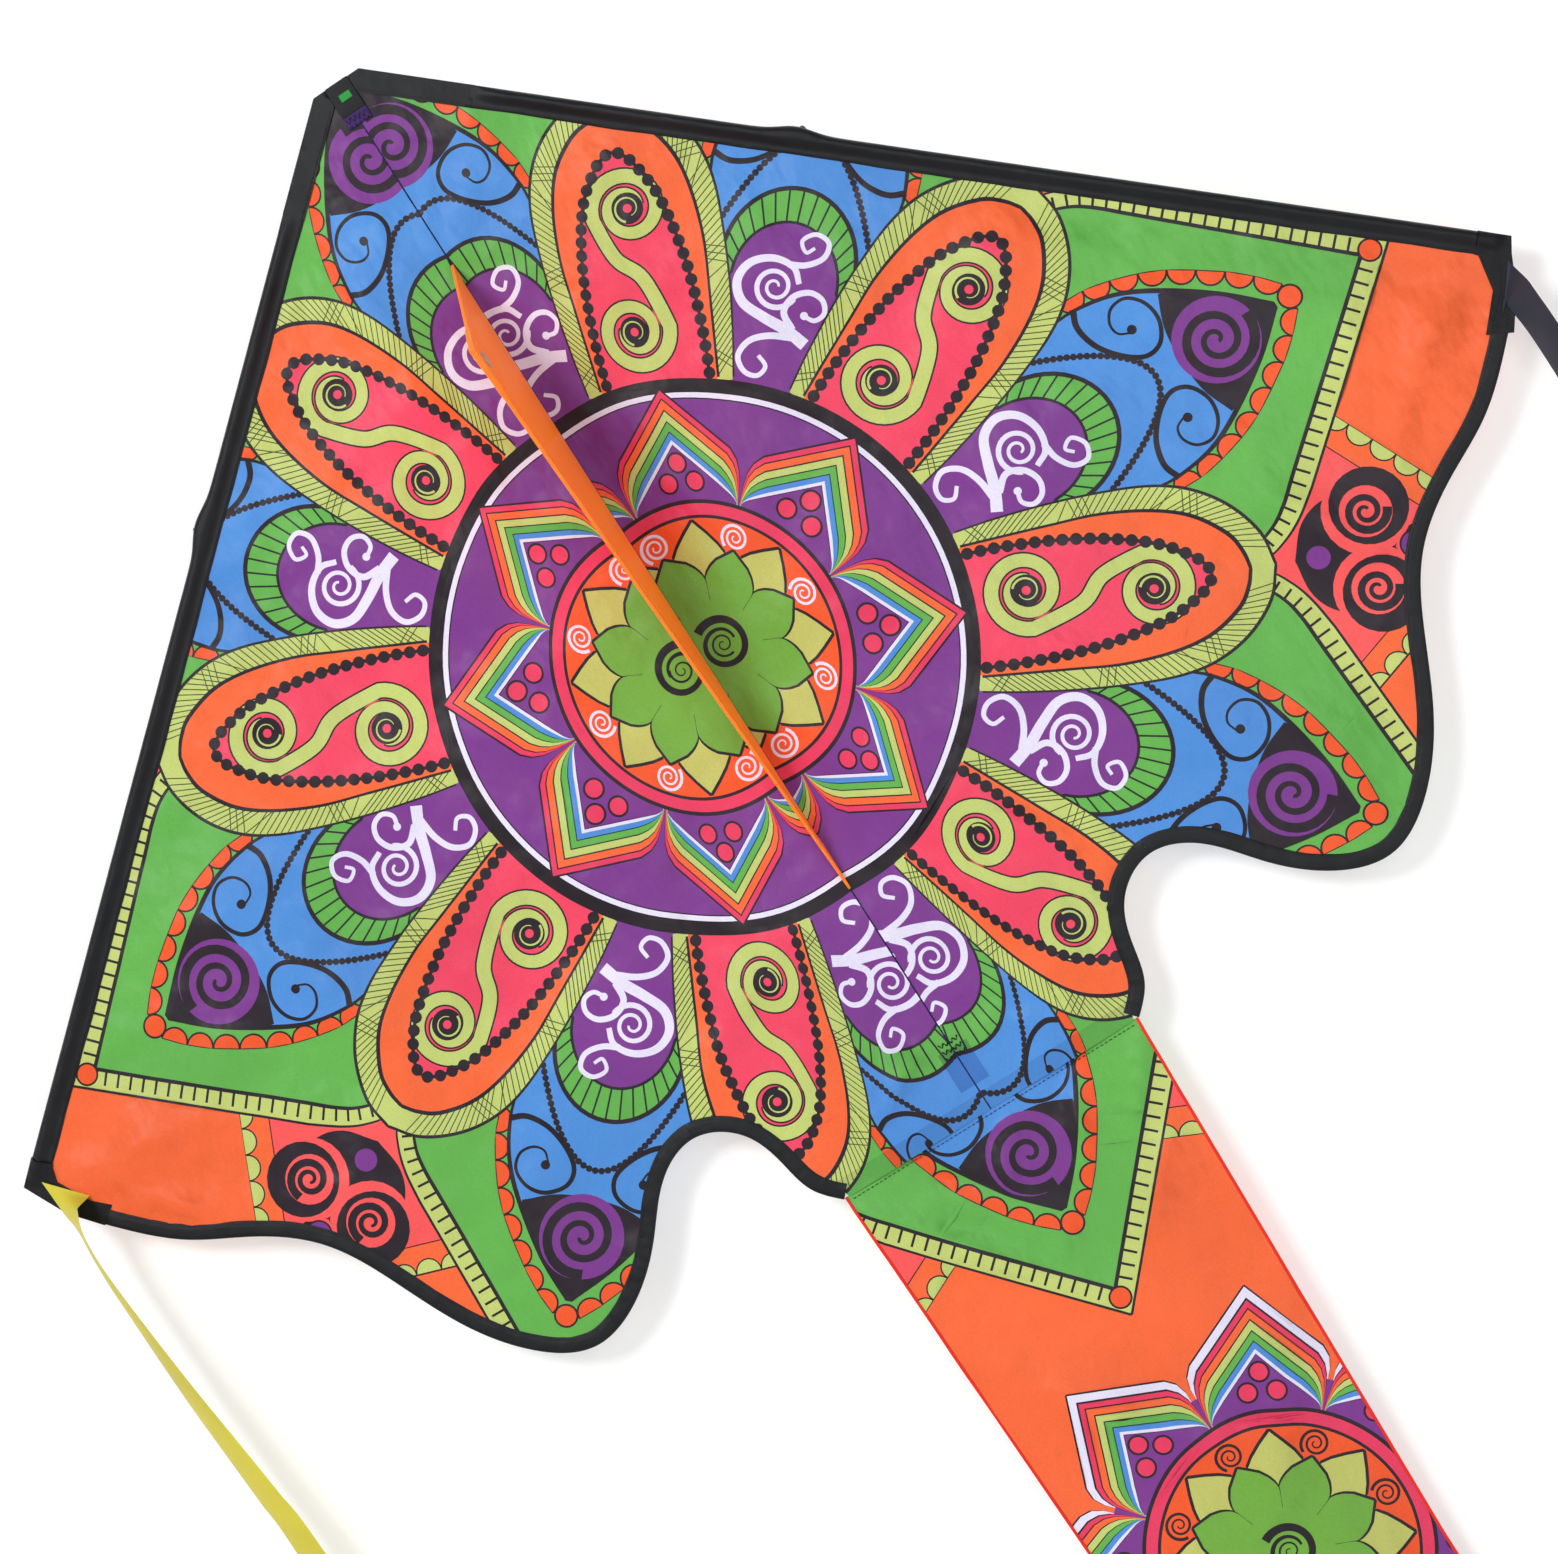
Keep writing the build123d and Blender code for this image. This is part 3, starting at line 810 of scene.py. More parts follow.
# the keel's orange cloth has translucency and a painted glow
KEEL = plain_cloth("keel_cloth", (1.0, 0.47, 0.13), 0.05, 0.5, 0.0008, 0.3, 0.0, 1.0)
YELLOW = plain_cloth("yellow_ribbon", (0.78, 0.73, 0.22), 0.07, 0.5, 0.0007, 0.35, 0.05)
BLACK = plain_cloth("black_ribbon", (0.17, 0.19, 0.235), 0.15, 0.45, 0.0007, 0.35, 0.05)
RED_HEM = plain_cloth("red_hem", (0.86, 0.15, 0.08), 0.08, 0.55, 0.0007, 0.3, 0.05)
THREAD = plain_cloth("black_thread", (0.07, 0.07, 0.085), 0.2, 0.6, 0.0006, 0.2, 0.1)
ORANGE_THREAD = plain_cloth("orange_thread", (0.90, 0.36, 0.15), 0.12, 0.6, 0.0006, 0.2, 0.1)
PURPLE_CLOTH = plain_cloth("purple_cloth", (0.22, 0.08, 0.36), 0.2, 0.6, 0.0009, 0.4, 0.05)
GREEN_CLOTH = plain_cloth("green_cloth", (0.15, 0.55, 0.22), 0.12, 0.6, 0.0009, 0.3, 0.05)
ROD = rod_material()
VINYL = moulded("black_vinyl", (0.10, 0.10, 0.105), 0.5, 900)
NYLON = moulded("black_nylon", (0.12, 0.12, 0.125), 0.42, 1400)
METAL = metal()


# ---------------------------------------------------------------- mesh helpers
def grid_mesh(name, rows, loop=False, cap=False):
    """A mesh over rows of points in millimetres; loop joins each row's ends."""
    rows = np.asarray(rows, float)
    n, m = rows.shape[:2]
    faces = []
    for i in range(n - 1):
        for j in range(m if loop else m - 1):
            k = (j + 1) % m
            faces.append((i * m + j, i * m + k, (i + 1) * m + k, (i + 1) * m + j))
    if cap:
        faces.append(tuple(reversed(range(m))))
        faces.append(tuple(range((n - 1) * m, n * m)))
    return solid_mesh(name, rows.reshape(-1, 3), faces)


def solid_mesh(name, points, faces):
    mesh = bpy.data.meshes.new(name)
    mesh.from_pydata((np.asarray(points, float) * MM).tolist(), [], [tuple(f) for f in faces])
    mesh.update()
    mesh.polygons.foreach_set("use_smooth", [True] * len(mesh.polygons))
    return mesh


def outward(mesh):
    """Faces turned outward, with hard edges kept at sharp corners."""
    work = bmesh.new()
    work.from_mesh(mesh)
    bmesh.ops.recalc_face_normals(work, faces=work.faces)
    for edge in work.edges:
        if len(edge.link_faces) == 2 and edge.calc_face_angle(0) > math.radians(50):
            edge.smooth = False
    work.to_mesh(mesh)
    work.free()
    return mesh


def facing_out(mesh, sign):
    """An open strip whose faces point outwards on the side of y that sign says."""
    total = sum(p.normal.y for p in mesh.polygons if p.center.y * sign > 0.0005)
    if total * sign < 0:
        mesh.flip_normals()
    return mesh


def plate_mesh(name, outline, spacing, front, back):
    """A closed cloth plate inside an (x, z) outline, between front(x, z) and back(x, z)."""
    outline = np.asarray(outline, float)
    flat, tris = triangulated(outline, [outline], spacing)
    tris = tris[inside(outline, flat[tris].mean(1))]
    count = len(flat)
    sides = dict.fromkeys((int(t[i]), int(t[(i + 1) % 3])) for t in tris for i in range(3))
    rim = [(a, b) for a, b in sides if (b, a) not in sides]
    y_front, y_back = front(flat[:, 0], flat[:, 1]), back(flat[:, 0], flat[:, 1])
    points = np.vstack([
        np.stack([flat[:, 0], y_front, flat[:, 1]], 1),
        np.stack([flat[:, 0], y_back, flat[:, 1]], 1),
    ])
    faces = [tuple(t) for t in tris] + [tuple(t[::-1] + count) for t in tris]
    faces += [(a, a + count, b + count, b) for a, b in rim]
    return outward(solid_mesh(name, points, faces))


def lathe_rows(profile, origin, axis, count=32):
    """The rings of a turned shape: profile is (distance along the axis, radius), in millimetres."""
    axis = Vector(axis).normalized()
    side = axis.orthogonal().normalized()
    other = axis.cross(side)
    rows = []
    for place, radius in profile:
        ring = []
        for k in range(count):
            angle = 2 * math.pi * k / count
            spot = Vector(origin) + axis * place
            spot += (side * math.cos(angle) + other * math.sin(angle)) * radius
            ring.append(tuple(spot))
        rows.append(ring)
    return rows


def piece(name, mesh, material, body, slot, stands_for=()):
    """An object from a mesh, riding on its body and standing for its CAD nodes."""
    mesh.materials.append(material)
    made = bpy.data.objects.new(name, mesh)
    bpy.context.scene.collection.objects.link(made)
    if body is not None:
        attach(made, body)
    if stands_for:
        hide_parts(*stands_for)
    return made


def smooth_step(value, low, high):
    """0 below low, 1 above high and an even S between; with low above high it falls."""
    t = np.clip((value - low) / (high - low), 0, 1)
    return t * t * (3 - 2 * t)


def ripple(a, b, seed=0.0):
    """A smooth wandering value between about -1 and 1."""
    return (
        np.sin(a * 1.0 + b * 0.7 + seed * 1.7) * 0.45
        + np.sin(a * 2.3 - b * 1.9 + seed * 3.1) * 0.3
        + np.sin(a * 4.7 + b * 3.3 + seed * 0.6) * 0.25
    )


def stitch_row(name, path, normal, material, body, slot, pitch=3.4, length=2.5, thick=0.42, lift=0.12):
    """A row of short threads along a path of 3-D points, lying on the side that normal faces."""
    path = np.asarray(path, float)
    run = np.concatenate([[0], np.cumsum(np.linalg.norm(np.diff(path, axis=0), axis=1))])
    count = max(int(run[-1] / pitch), 1)
    starts = (np.arange(count) + 0.5) * run[-1] / count
    normal = np.asarray(normal, float)
    normal /= np.linalg.norm(normal)
    points, faces = [], []
    ring = ((-1.0, 0.35), (-0.6, 0.9), (0.6, 0.9), (1.0, 0.35))
    for start in starts:
        a, b = (
            np.array([np.interp(start + d, run, path[:, k]) for k in range(3)])
            for d in (-length / 2, length / 2)
        )
        ahead = (b - a) / max(np.linalg.norm(b - a), 1e-6)
        across = np.cross(ahead, normal)
        base = len(points)
        for place, size in ((0.0, 0.3), (0.22, 1.0), (0.78, 1.0), (1.0, 0.3)):
            middle = a + (b - a) * place
            for u, v in ring:
                points.append(middle + across * u * thick / 2 * size + normal * (lift + v * thick / 2 * size))
        for i in range(3):
            for j in range(3):
                k = base + i * 4 + j
                faces.append((k, k + 1, k + 5, k + 4))
        faces += [(base, base + 4, base + 8, base + 12, base + 15, base + 11, base + 7, base + 3)]
        faces += [(base, base + 3, base + 2, base + 1), (base + 12, base + 13, base + 14, base + 15)]
    mesh = outward(solid_mesh(name, points, faces))
    return piece(name, mesh, material, body, slot)


# ---------------------------------------------------------------- sail outlines
def from_edge(run, inset):
    """The (x, z) of a point this far along the right leading edge and this far in from it."""
    return np.array([
        NOSE_HALF + EDGE_ALONG[0] * run + EDGE_INWARD[0] * inset,
        EDGE_ALONG[1] * run + EDGE_INWARD[1] * inset,
    ])


CURVE_STEPS = 12
CURVE = natural_spline(WAVE, CURVE_STEPS)
NOTCH_AT = NOTCH_INDEX * CURVE_STEPS
SIDES = (("right", 1), ("left", -1))


def inset_curve(distance):
    """The trailing edge moved into the cloth."""
    return CURVE + normals_of(CURVE) * distance


INWARD = -1
HEM_LINE = inset_curve(6.0 * INWARD)
FOLD_TOP = (STRIP_HALF, SPLIT_TOP)


def wing_outline():
    """The right wing's share of the cloth, from the middle strip to the hem and the fold's foot."""
    top = from_edge((STRIP_HALF - from_edge(0, 12.5)[0]) / EDGE_ALONG[0], 12.5)
    return np.vstack([
        [top], [from_edge(EDGE_RUN - 14, 12.5)], [(563, -523)], HEM_LINE[:NOTCH_AT + 1], [FOLD_TOP],
    ])


def neck_outline():
    """The right half's cloth below the fold's foot, between wing and spine."""
    foot = np.array([HEM_LINE[-1][0], -SEAM_DROP])
    return np.vstack([[FOLD_TOP], HEM_LINE[NOTCH_AT:-1], [foot], [(STRIP_HALF, -SEAM_DROP)]])


BORDER = np.vstack([
    [(0, 0)], [from_edge(0, 14)], [from_edge(EDGE_RUN - 10, 14)], [(563, -523)], HEM_LINE[:-1:4],
    [(109, -SEAM_DROP)],
])


def border_distance(x, z):
    """Distance to the sewn edges and to the spine seam, in millimetres."""
    x = np.abs(x)
    best = np.maximum(x - STRIP_HALF, 0.0)
    for a, b in zip(BORDER[1:-1], BORDER[2:]):
        run = b - a
        t = ((x - a[0]) * run[0] + (z - a[1]) * run[1]) / (run @ run)
        t = np.clip(t, 0, 1)
        best = np.minimum(best, np.hypot(x - a[0] - t * run[0], z - a[1] - t * run[1]))
    return best


CREASES = [
    # side, start, end, half width, height: soft folds in the slack cloth
    (1, (552, -488), (420, -593), 10, -2.6),
    (1, (575, -512), (500, -560), 8, 1.8),
    (1, (500, -470), (400, -560), 22, -1.6),
    (-1, (-560, -512), (-440, -520), 12, -2.0),
    (-1, (-560, -530), (-450, -600), 14, -2.2),
    (-1, (-530, -540), (-500, -590), 7, 1.7),
    (-1, (-500, -555), (-478, -610), 7, -1.7),
    (1, (330, -296), (210, -380), 18, -1.9),
    (-1, (-330, -296), (-240, -420), 15, -1.8),
    (1, (160, -690), (60, -600), 12, -2.0),
    (-1, (-160, -690), (-50, -620), 12, -2.2),
    (1, (322, -780), (310, -640), 16, -2.2),
    (-1, (-322, -780), (-270, -640), 14, -2.2),
    (1, (60, -90), (40, -330), 13, -1.6),
    (-1, (-70, -100), (-60, -330), 15, -1.6),
    (1, (420, -655), (350, -520), 13, -1.8),
    (-1, (-420, -655), (-340, -560), 13, -1.8),
    (1, (10, -740), (100, -786), 7, -1.8),
    (-1, (-10, -735), (-100, -782), 7, -1.8),
    (1, (12, -760), (70, -720), 6, -1.2),
    (-1, (-12, -760), (-70, -700), 6, -1.2),
]


def creased(x, z, creases):
    """The sum of soft folds, each along a line and on one side of the kite."""
    total = 0.0 * x
    for side, (ax, az), (bx, bz), width, height in creases:
        run = np.array((bx - ax, bz - az), float)
        span = np.hypot(*run)
        t = ((x - ax) * run[0] + (z - az) * run[1]) / span**2
        off = ((x - ax) * run[1] - (z - az) * run[0]) / span
        fade = np.clip(1 - np.abs(t - 0.4) * 1.55, 0, 1)
        fade = fade * fade * (3 - 2 * fade)
        near = smooth_step(x * side, 0, 14) if side else 1.0
        total = total + height * np.exp(-((off / width) ** 2)) * fade * near
    return total


def sail_shape(x, z):
    """How far the slack cloth bellies out towards the keel side."""
    reach = border_distance(x, z)
    slack = 1 - np.exp(-((reach / 46.0) ** 2))
    y = -4.2 * slack
    y = y + slack * (2.6 * ripple(x / 62.0, z / 78.0, 1.0) + 1.2 * ripple(x / 25.0, z / 31.0, 2.0))
    settle = 1 - np.exp(-((reach / 14.0) ** 2))
    y = y + 2.2 * settle * creased(x, z, CREASES)
    pucker = np.exp(-(((reach - 15.0) / 12.0) ** 2)) * (np.abs(x) > 30)
    return y + 0.4 * pucker * ripple(x / 7.0, z / 8.0, 4.0)


def add_sail():
    """Two printed halves, each split where the wing folds, and joined on the spine."""
    fine = 9.0
    # painted shade over the tail pocket and the turned-in seam allowance, which keep light from coming
    # through the cloth
    pocket = np.array([(-11, -750), (11, -750), (11, -779), (-11, -779)])
    turning = np.array([(-120, -785), (120, -785), (120, -800), (-120, -800)])
    for name, side in SIDES:
        flip = np.array((side, 1))
        rows = sail_print(side)
        seam = np.array([(0, 0), (0.55, 0), (0.55, -SEAM_DROP - 1), (0, -SEAM_DROP - 1)]) * flip
        marks = rows + [("pocket", pocket), ("turning", turning), ("seam", seam)]
        strip = np.array([(0, -6), (STRIP_HALF, -6), (STRIP_HALF, -SEAM_DROP), (0, -SEAM_DROP)]) * flip
        mesh = printed_mesh(f"strip_{name}", strip, marks, "orange", 5.0, sail_shape)
        center = piece(f"strip_{name}_cloth", mesh, PRINT, "spine", "sail_print", ["sail_center"])
        mesh = printed_mesh(f"sail_{name}_cloth", wing_outline() * flip, rows, "orange", fine, sail_shape)
        wing = piece(f"sail_{name}_cloth", mesh, PRINT, f"wing_{name}", "sail_print", [f"sail_{name}"])
        mesh = printed_mesh(f"neck_{name}_cloth", neck_outline() * flip, marks, "orange", fine, sail_shape)
        neck = piece(f"neck_{name}_cloth", mesh, PRINT, None, "sail_print")
        blend_neck(neck)


def blend_neck(made):
    """Bakes a piece of the neck's transform into its mesh."""
    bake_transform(made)


# ---------------------------------------------------------------- sleeves, bindings and patches
# how far in from the leading edge the rod's axis and the sleeve's hem lie
ROD_INSET = 4.7
SLEEVE_WIDTH = 15.0
# where along the edge the sleeve ends, where its tunnel for the rod opens, and the spreader's seat
SLEEVE_TO = 735.0
TUNNEL_FROM = 84.0
SPREADER_Z = -196.0
SEAT = (SPREADER_Z - from_edge(0, ROD_INSET)[1]) / EDGE_ALONG[1]
# half the sleeve's thickness over the rod and where it is empty, and the insets it is drawn at
SLEEVE_HALF = 4.5
FLAT_HALF = 0.95
SLEEVE_STEPS = (0.1, 0.35, 0.9, 1.7, 2.7, 3.7, 4.7, 5.8, 6.9, 8.1, 9.4, 10.8, 12.2, 13.6, 14.6, 15.0)


def sleeve_height(inset):
    """Half the sleeve's thickness over the rod, falling to the flat hem."""
    if inset <= ROD_INSET:
        return max(math.sqrt(max(SLEEVE_HALF**2 - (ROD_INSET - inset) ** 2, 0)), 0.25)
    fall = float(smooth_step(inset, ROD_INSET, 11.0))
    return SLEEVE_HALF + (1.0 - SLEEVE_HALF) * fall


def sleeve_rows(side):
    """The sleeve's sections along the edge, from the front hem round the edge to the back hem.

    It is flat before its tunnel opens, is cut open behind the spreader's seat, where its back
    lies on its front, and swells outwards there.
    """
    rows = []
    for run in np.arange(TUNNEL_FROM - 8, SLEEVE_TO + 0.1, 3.0):
        full = float(smooth_step(run, TUNNEL_FROM - 8, TUNNEL_FROM + 12))
        tuck = float(smooth_step(run, SLEEVE_TO - 22, SLEEVE_TO))
        open_back = float(smooth_step(abs(run - SEAT), 16.5, 13.5))
        front, back = [], []
        for inset in SLEEVE_STEPS:
            pucker = ripple(run / 17.0, inset / 5.0, 0.4 + side) * 0.22
            pucker += ripple(run / 5.3, inset / 3.0, 2.0) * 0.09
            edge = 0.5 * ripple(run / 34.0, 0.0, 5.0) * (inset / SLEEVE_WIDTH)
            tube = sleeve_height(inset)
            height = FLAT_HALF + (tube - FLAT_HALF) * full
            if inset < 1.0:
                height = min(height, 0.3 + inset * 3)
            height *= 1 - 0.10 * tuck
            bulge = height + pucker * (0.4 + full * min(height / 4.0, 1)) + open_back * 0.5 * (inset < 10)
            swell = 3.6 * math.exp(-(((run - SEAT) / 15.0) ** 2)) * float(smooth_step(inset, 8.0, 0.0))
            spot = from_edge(run, inset + edge - swell)
            if inset > 14.0:
                bulge = 0.35 + (bulge - 0.35) * (15.0 - inset)
            front.append((spot[0], -bulge, spot[1]))
            rear = height + pucker * 0.5 * full
            if inset < 10.5:
                rear += (-(bulge - 0.45) - rear) * open_back
            back.append((spot[0], max(rear, -bulge + 0.3), spot[1]))
        rows.append(front[::-1] + back)
    return np.array(rows) * (side, 1, 1)


def add_nose_band(name, side):
    """The flat start of the sleeve, between the wing and the nose."""
    inner = from_edge(0, SLEEVE_WIDTH)
    low = (HINGE_X - inner[0]) / EDGE_ALONG[0]
    outline = np.array([
        (HINGE_X, 0), (NOSE_HALF, 0), from_edge(TUNNEL_FROM - 6, 0),
        from_edge(TUNNEL_FROM - 6, SLEEVE_WIDTH), from_edge(low, SLEEVE_WIDTH),
    ]) * (side, 1)

    def front(x, z):
        return -1.0 - 0.18 * ripple(x / 9.0, z / 11.0, 3.0)

    def back(x, z):
        return 1.0 + 0.18 * ripple(x / 9.0, z / 11.0, 1.0)

    mesh = plate_mesh(f"nose_band_{name}", outline, 3.0, front, back)
    band = piece(f"nose_band_{name}", mesh, SLEEVE, None, "black_cloth")
    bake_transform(band)


def add_sleeves():
    for name, side in SIDES:
        mesh = facing_out(grid_mesh(f"leading_sleeve_{name}_cloth", sleeve_rows(side)), -1)
        sleeve = piece(
            f"leading_sleeve_{name}_cloth", mesh, SLEEVE, f"wing_{name}", "black_cloth",
            [f"leading_sleeve_{name}"],
        )
        add_nose_band(name, side)
        for face, sign in (("front", -1), ("back", 1)):
            line = [from_edge(run, 13.2) for run in np.arange(4, SLEEVE_TO - 2, 6.0)]
            path = [(x * side, sign * 1.12, z) for x, z in line]
            stitch_row(
                f"sleeve_stitches_{face}_{name}", path, (0, sign, 0), THREAD,
                f"wing_{name}", "black_cloth",
            )


def tape_rows(line, width, half, side, seed):
    """A folded tape along the trailing edge, rounded at its outer fold."""
    inner = normals_of(line) * INWARD
    length = np.concatenate([[0], np.cumsum(np.linalg.norm(np.diff(line, axis=0), axis=1))])
    shape = ((0.0, 0.0), (0.25, 0.55), (0.9, 0.9), (3.0, 1.0), (6.5, 0.96), (10.2, 0.85), (width, 0.3))
    rows = []
    for spot, aim, run in zip(line, inner, length):
        wobble = 0.22 * ripple(run / 6.0, 0.0, seed)
        front, back = [], []
        for inset, share in shape:
            edge = inset + 0.35 * ripple(run / 23.0, 0.0, seed + 2) * inset / width
            place = spot + aim * edge
            lift = half * share * (1 + wobble)
            front.append((place[0], -lift, place[1]))
            back.append((place[0], lift, place[1]))
        rows.append(front[::-1] + back[1:])
    return np.array(rows) * (side, 1, 1)


def add_bindings():
    """The tape along the trailing edge: one length on the wing, and one round the neck."""
    steps = 30
    fine = natural_spline(WAVE, steps)
    notch = NOTCH_INDEX * steps
    for name, side in SIDES:
        for label, line, body, node in (
            ("trailing", fine[:notch + 1], f"wing_{name}", f"trailing_binding_{name}"),
            ("neck", fine[notch:], None, f"neck_binding_{name}"),
        ):
            mesh = facing_out(grid_mesh(f"{node}_tape", tape_rows(line, 11.0, 1.05, side, 1.0 + side)), -1)
            tape = piece(f"{node}_tape", mesh, SLEEVE, body, "black_cloth", [node])
            if body is None:
                blend_neck(tape)
            inner = line + normals_of(line) * INWARD * 9.3
            for face, sign in (("front", -1), ("back", 1)):
                path = [(x * side, sign * 1.12, z) for x, z in inner[3:-3]]
                row = stitch_row(
                    f"{label}_stitches_{face}_{name}", path, (0, sign, 0), THREAD, body, "black_cloth",
                )
                if body is None:
                    blend_neck(row)


def patch_shape(sign):
    """The height of one face of a tip patch, which bulges over the end of the rod."""

    def height(x, z):
        px = np.abs(x) - NOSE_HALF
        run = px * EDGE_ALONG[0] + z * EDGE_ALONG[1]
        inset = px * EDGE_INWARD[0] + z * EDGE_INWARD[1]
        tube = np.exp(-(((inset - ROD_INSET) / 4.4) ** 4)) * (1 - smooth_step(run, 743, 752))
        pucker = 0.42 * ripple(x / 5.0, z / 4.2, 2.0 + sign)
        return sign * (1.35 + 3.4 * tube + pucker)

    return height


PATCH_LOWER = {
    "right": [(578, -509), (569, -529), (553, -552), (537.5, -543.5), (556, -522)],
    "left": [(579, -509), (568, -530), (550.5, -550.0), (538.5, -541.0), (549.5, -531), (562.5, -508)],
}


def add_tip_patches():
    """The webbing folded over each wing tip, with a row of thread inside its rim."""
    for name, side in SIDES:
        outline = np.array([
            from_edge(SLEEVE_TO - 2, -0.2), from_edge(SLEEVE_TO + 10, 0), from_edge(EDGE_RUN, 0),
            *PATCH_LOWER[name], from_edge(SLEEVE_TO + 1, SLEEVE_WIDTH + 0.4),
            from_edge(SLEEVE_TO - 2, SLEEVE_WIDTH),
        ]) * (side, 1)
        mesh = plate_mesh(f"tip_patch_{name}_webbing", outline, 2.2, patch_shape(-1), patch_shape(1))
        patch = piece(
            f"tip_patch_{name}_webbing", mesh, WEBBING, f"wing_{name}", "black_webbing",
            [f"tip_patch_{name}"],
        )
        rim = np.array([
            from_edge(SLEEVE_TO + 2, 12.5), (570, -508), (560, -525), (543.5, -541), (551, -546.5),
            (564, -529), (575, -509), from_edge(EDGE_RUN - 10, 12),
        ])
        for face, sign in (("front", -1), ("back", 1)):
            path = [(x * side, sign * 1.55, z) for x, z in rim]
            stitch_row(
                f"patch_stitches_{face}_{name}", path, (0, sign, 0), THREAD, f"wing_{name}",
                "black_webbing", pitch=3.0, length=2.2, lift=0.2,
            )


# ---------------------------------------------------------------- spine
def add_spine():
    """The sleeve over the spine rod, with its stitching, and the pockets at its two ends."""
    rows = []
    for z in np.arange(-34, -750.5, -4.0):
        pucker = 0.16 * ripple(z / 12.0, 0.0, 1.0)
        shape = [
            (-8, 0.5), (-7.8, 1.3), (-5.6, 1.45 + pucker), (-3.9, 1.9), (-3.45, 3.2), (-3.3, 4.3),
            (-2.85, 5.9), (-1.7, 7.15), (0, 7.6 + pucker), (1.7, 7.15), (2.85, 5.9), (3.3, 4.3),
            (3.45, 3.2), (3.9, 1.9), (5.6, 1.45 - pucker), (7.8, 1.3), (8, 0.5),
        ]
        rows.append([(x, y, z) for x, y in shape])
    mesh = facing_out(grid_mesh("spine_sleeve_cloth", rows), 1)
    sleeve = piece("spine_sleeve_cloth", mesh, SLEEVE, "spine", "black_cloth", ["spine_sleeve"])
    for name, side in SIDES:
        path = [(6.9 * side, 1.42, z) for z in np.arange(-38, -747, -8.0)]
        stitch_row(f"spine_stitches_back_{name}", path, (0, 1, 0), THREAD, "spine", "black_cloth")
    seam = [(0.0, -0.35, z) for z in np.arange(-36, -762, -8.0)]
    stitch_row("spine_seam_front", seam, (0, -1, 0), THREAD, "spine", "black_cloth", thick=0.7)
    add_nose_pocket()
    add_tail_pocket()


def rounded_box(name, x, y, z, bevel):
    """A soft-edged block between pairs of limits, in millimetres."""
    work = bmesh.new()
    bmesh.ops.create_cube(work, size=1.0)
    size = [high - low for low, high in (x, y, z)]
    middle = [(low + high) / 2 for low, high in (x, y, z)]
    for vert in work.verts:
        vert.co = Vector(m + c * s for m, c, s in zip(middle, vert.co, size)) * MM
    bmesh.ops.subdivide_edges(work, edges=work.edges[:], cuts=6, use_grid_fill=True)
    sharp = [e for e in work.edges if len(e.link_faces) == 2 and e.calc_face_angle(0) > 1]
    bmesh.ops.bevel(work, geom=sharp, offset=bevel * MM, segments=3, affect="EDGES", profile=0.6)
    mesh = bpy.data.meshes.new(name)
    work.to_mesh(mesh)
    work.free()
    mesh.polygons.foreach_set("use_smooth", [True] * len(mesh.polygons))
    return mesh


def across_spine(half, y, z, count=9, zigzag=0.0):
    """Points from side to side of the spine at one height, or to and fro about it."""
    return [(x, y, z + zigzag * (-1) ** i) for i, x in enumerate(np.linspace(-half, half, count))]


def add_nose_pocket():
    """Webbing folded over the top of the spine, with a scrap of green and a purple bar."""
    for name, x, y, z, bevel, material, slot, nodes in (
        ("nose_front_webbing", (-8.9, 8.9), (-1.7, -0.4), (-22.5, 0), 0.5, WEBBING, "black_webbing", ()),
        ("nose_pocket_webbing", (-11, 11), (0.8, 9.2), (-34, 0), 1.6, WEBBING, "black_webbing",
         ["spine_pocket_nose"]),
        ("nose_fold_webbing", (-8.6, 8.6), (-1.6, 3.0), (-3.0, 0.4), 0.7, WEBBING, "black_webbing", ()),
        ("nose_green_tab", (-3.2, 5.0), (-2.1, -1.4), (-13.0, -8.0), 0.25, GREEN_CLOTH, "sail_print", ()),
        ("nose_purple_bar", (-8.8, 8.8), (-1.5, -0.3), (-30.5, -20.5), 0.4, PURPLE_CLOTH, "sail_print", ()),
    ):
        piece(name, rounded_box(name, x, y, z, bevel), material, "spine", slot, nodes)
    for index, z in enumerate((-22.0, -29.6)):
        stitch_row(
            f"nose_bar_stitches_{index}", across_spine(8.2, -1.5, z), (0, -1, 0), THREAD, "spine",
            "black_webbing", pitch=2.8, length=1.7, thick=0.9,
        )
    stitch_row(
        "nose_bar_zigzag", across_spine(8.2, -1.5, -26, 10, 3.0), (0, -1, 0), THREAD, "spine",
        "black_webbing", pitch=4.0, length=3.6, thick=0.7,
    )
    add_pocket_stitches("nose", (-6.0, -20.0, -32.0))


def add_pocket_stitches(end, heights):
    """Rows of thread across the back of a webbing pocket."""
    for index, z in enumerate(heights):
        stitch_row(
            f"{end}_back_stitches_{index}", across_spine(9.5, 9.2, z), (0, 1, 0), THREAD, "spine",
            "black_webbing", pitch=2.8, length=2.0, thick=0.7,
        )


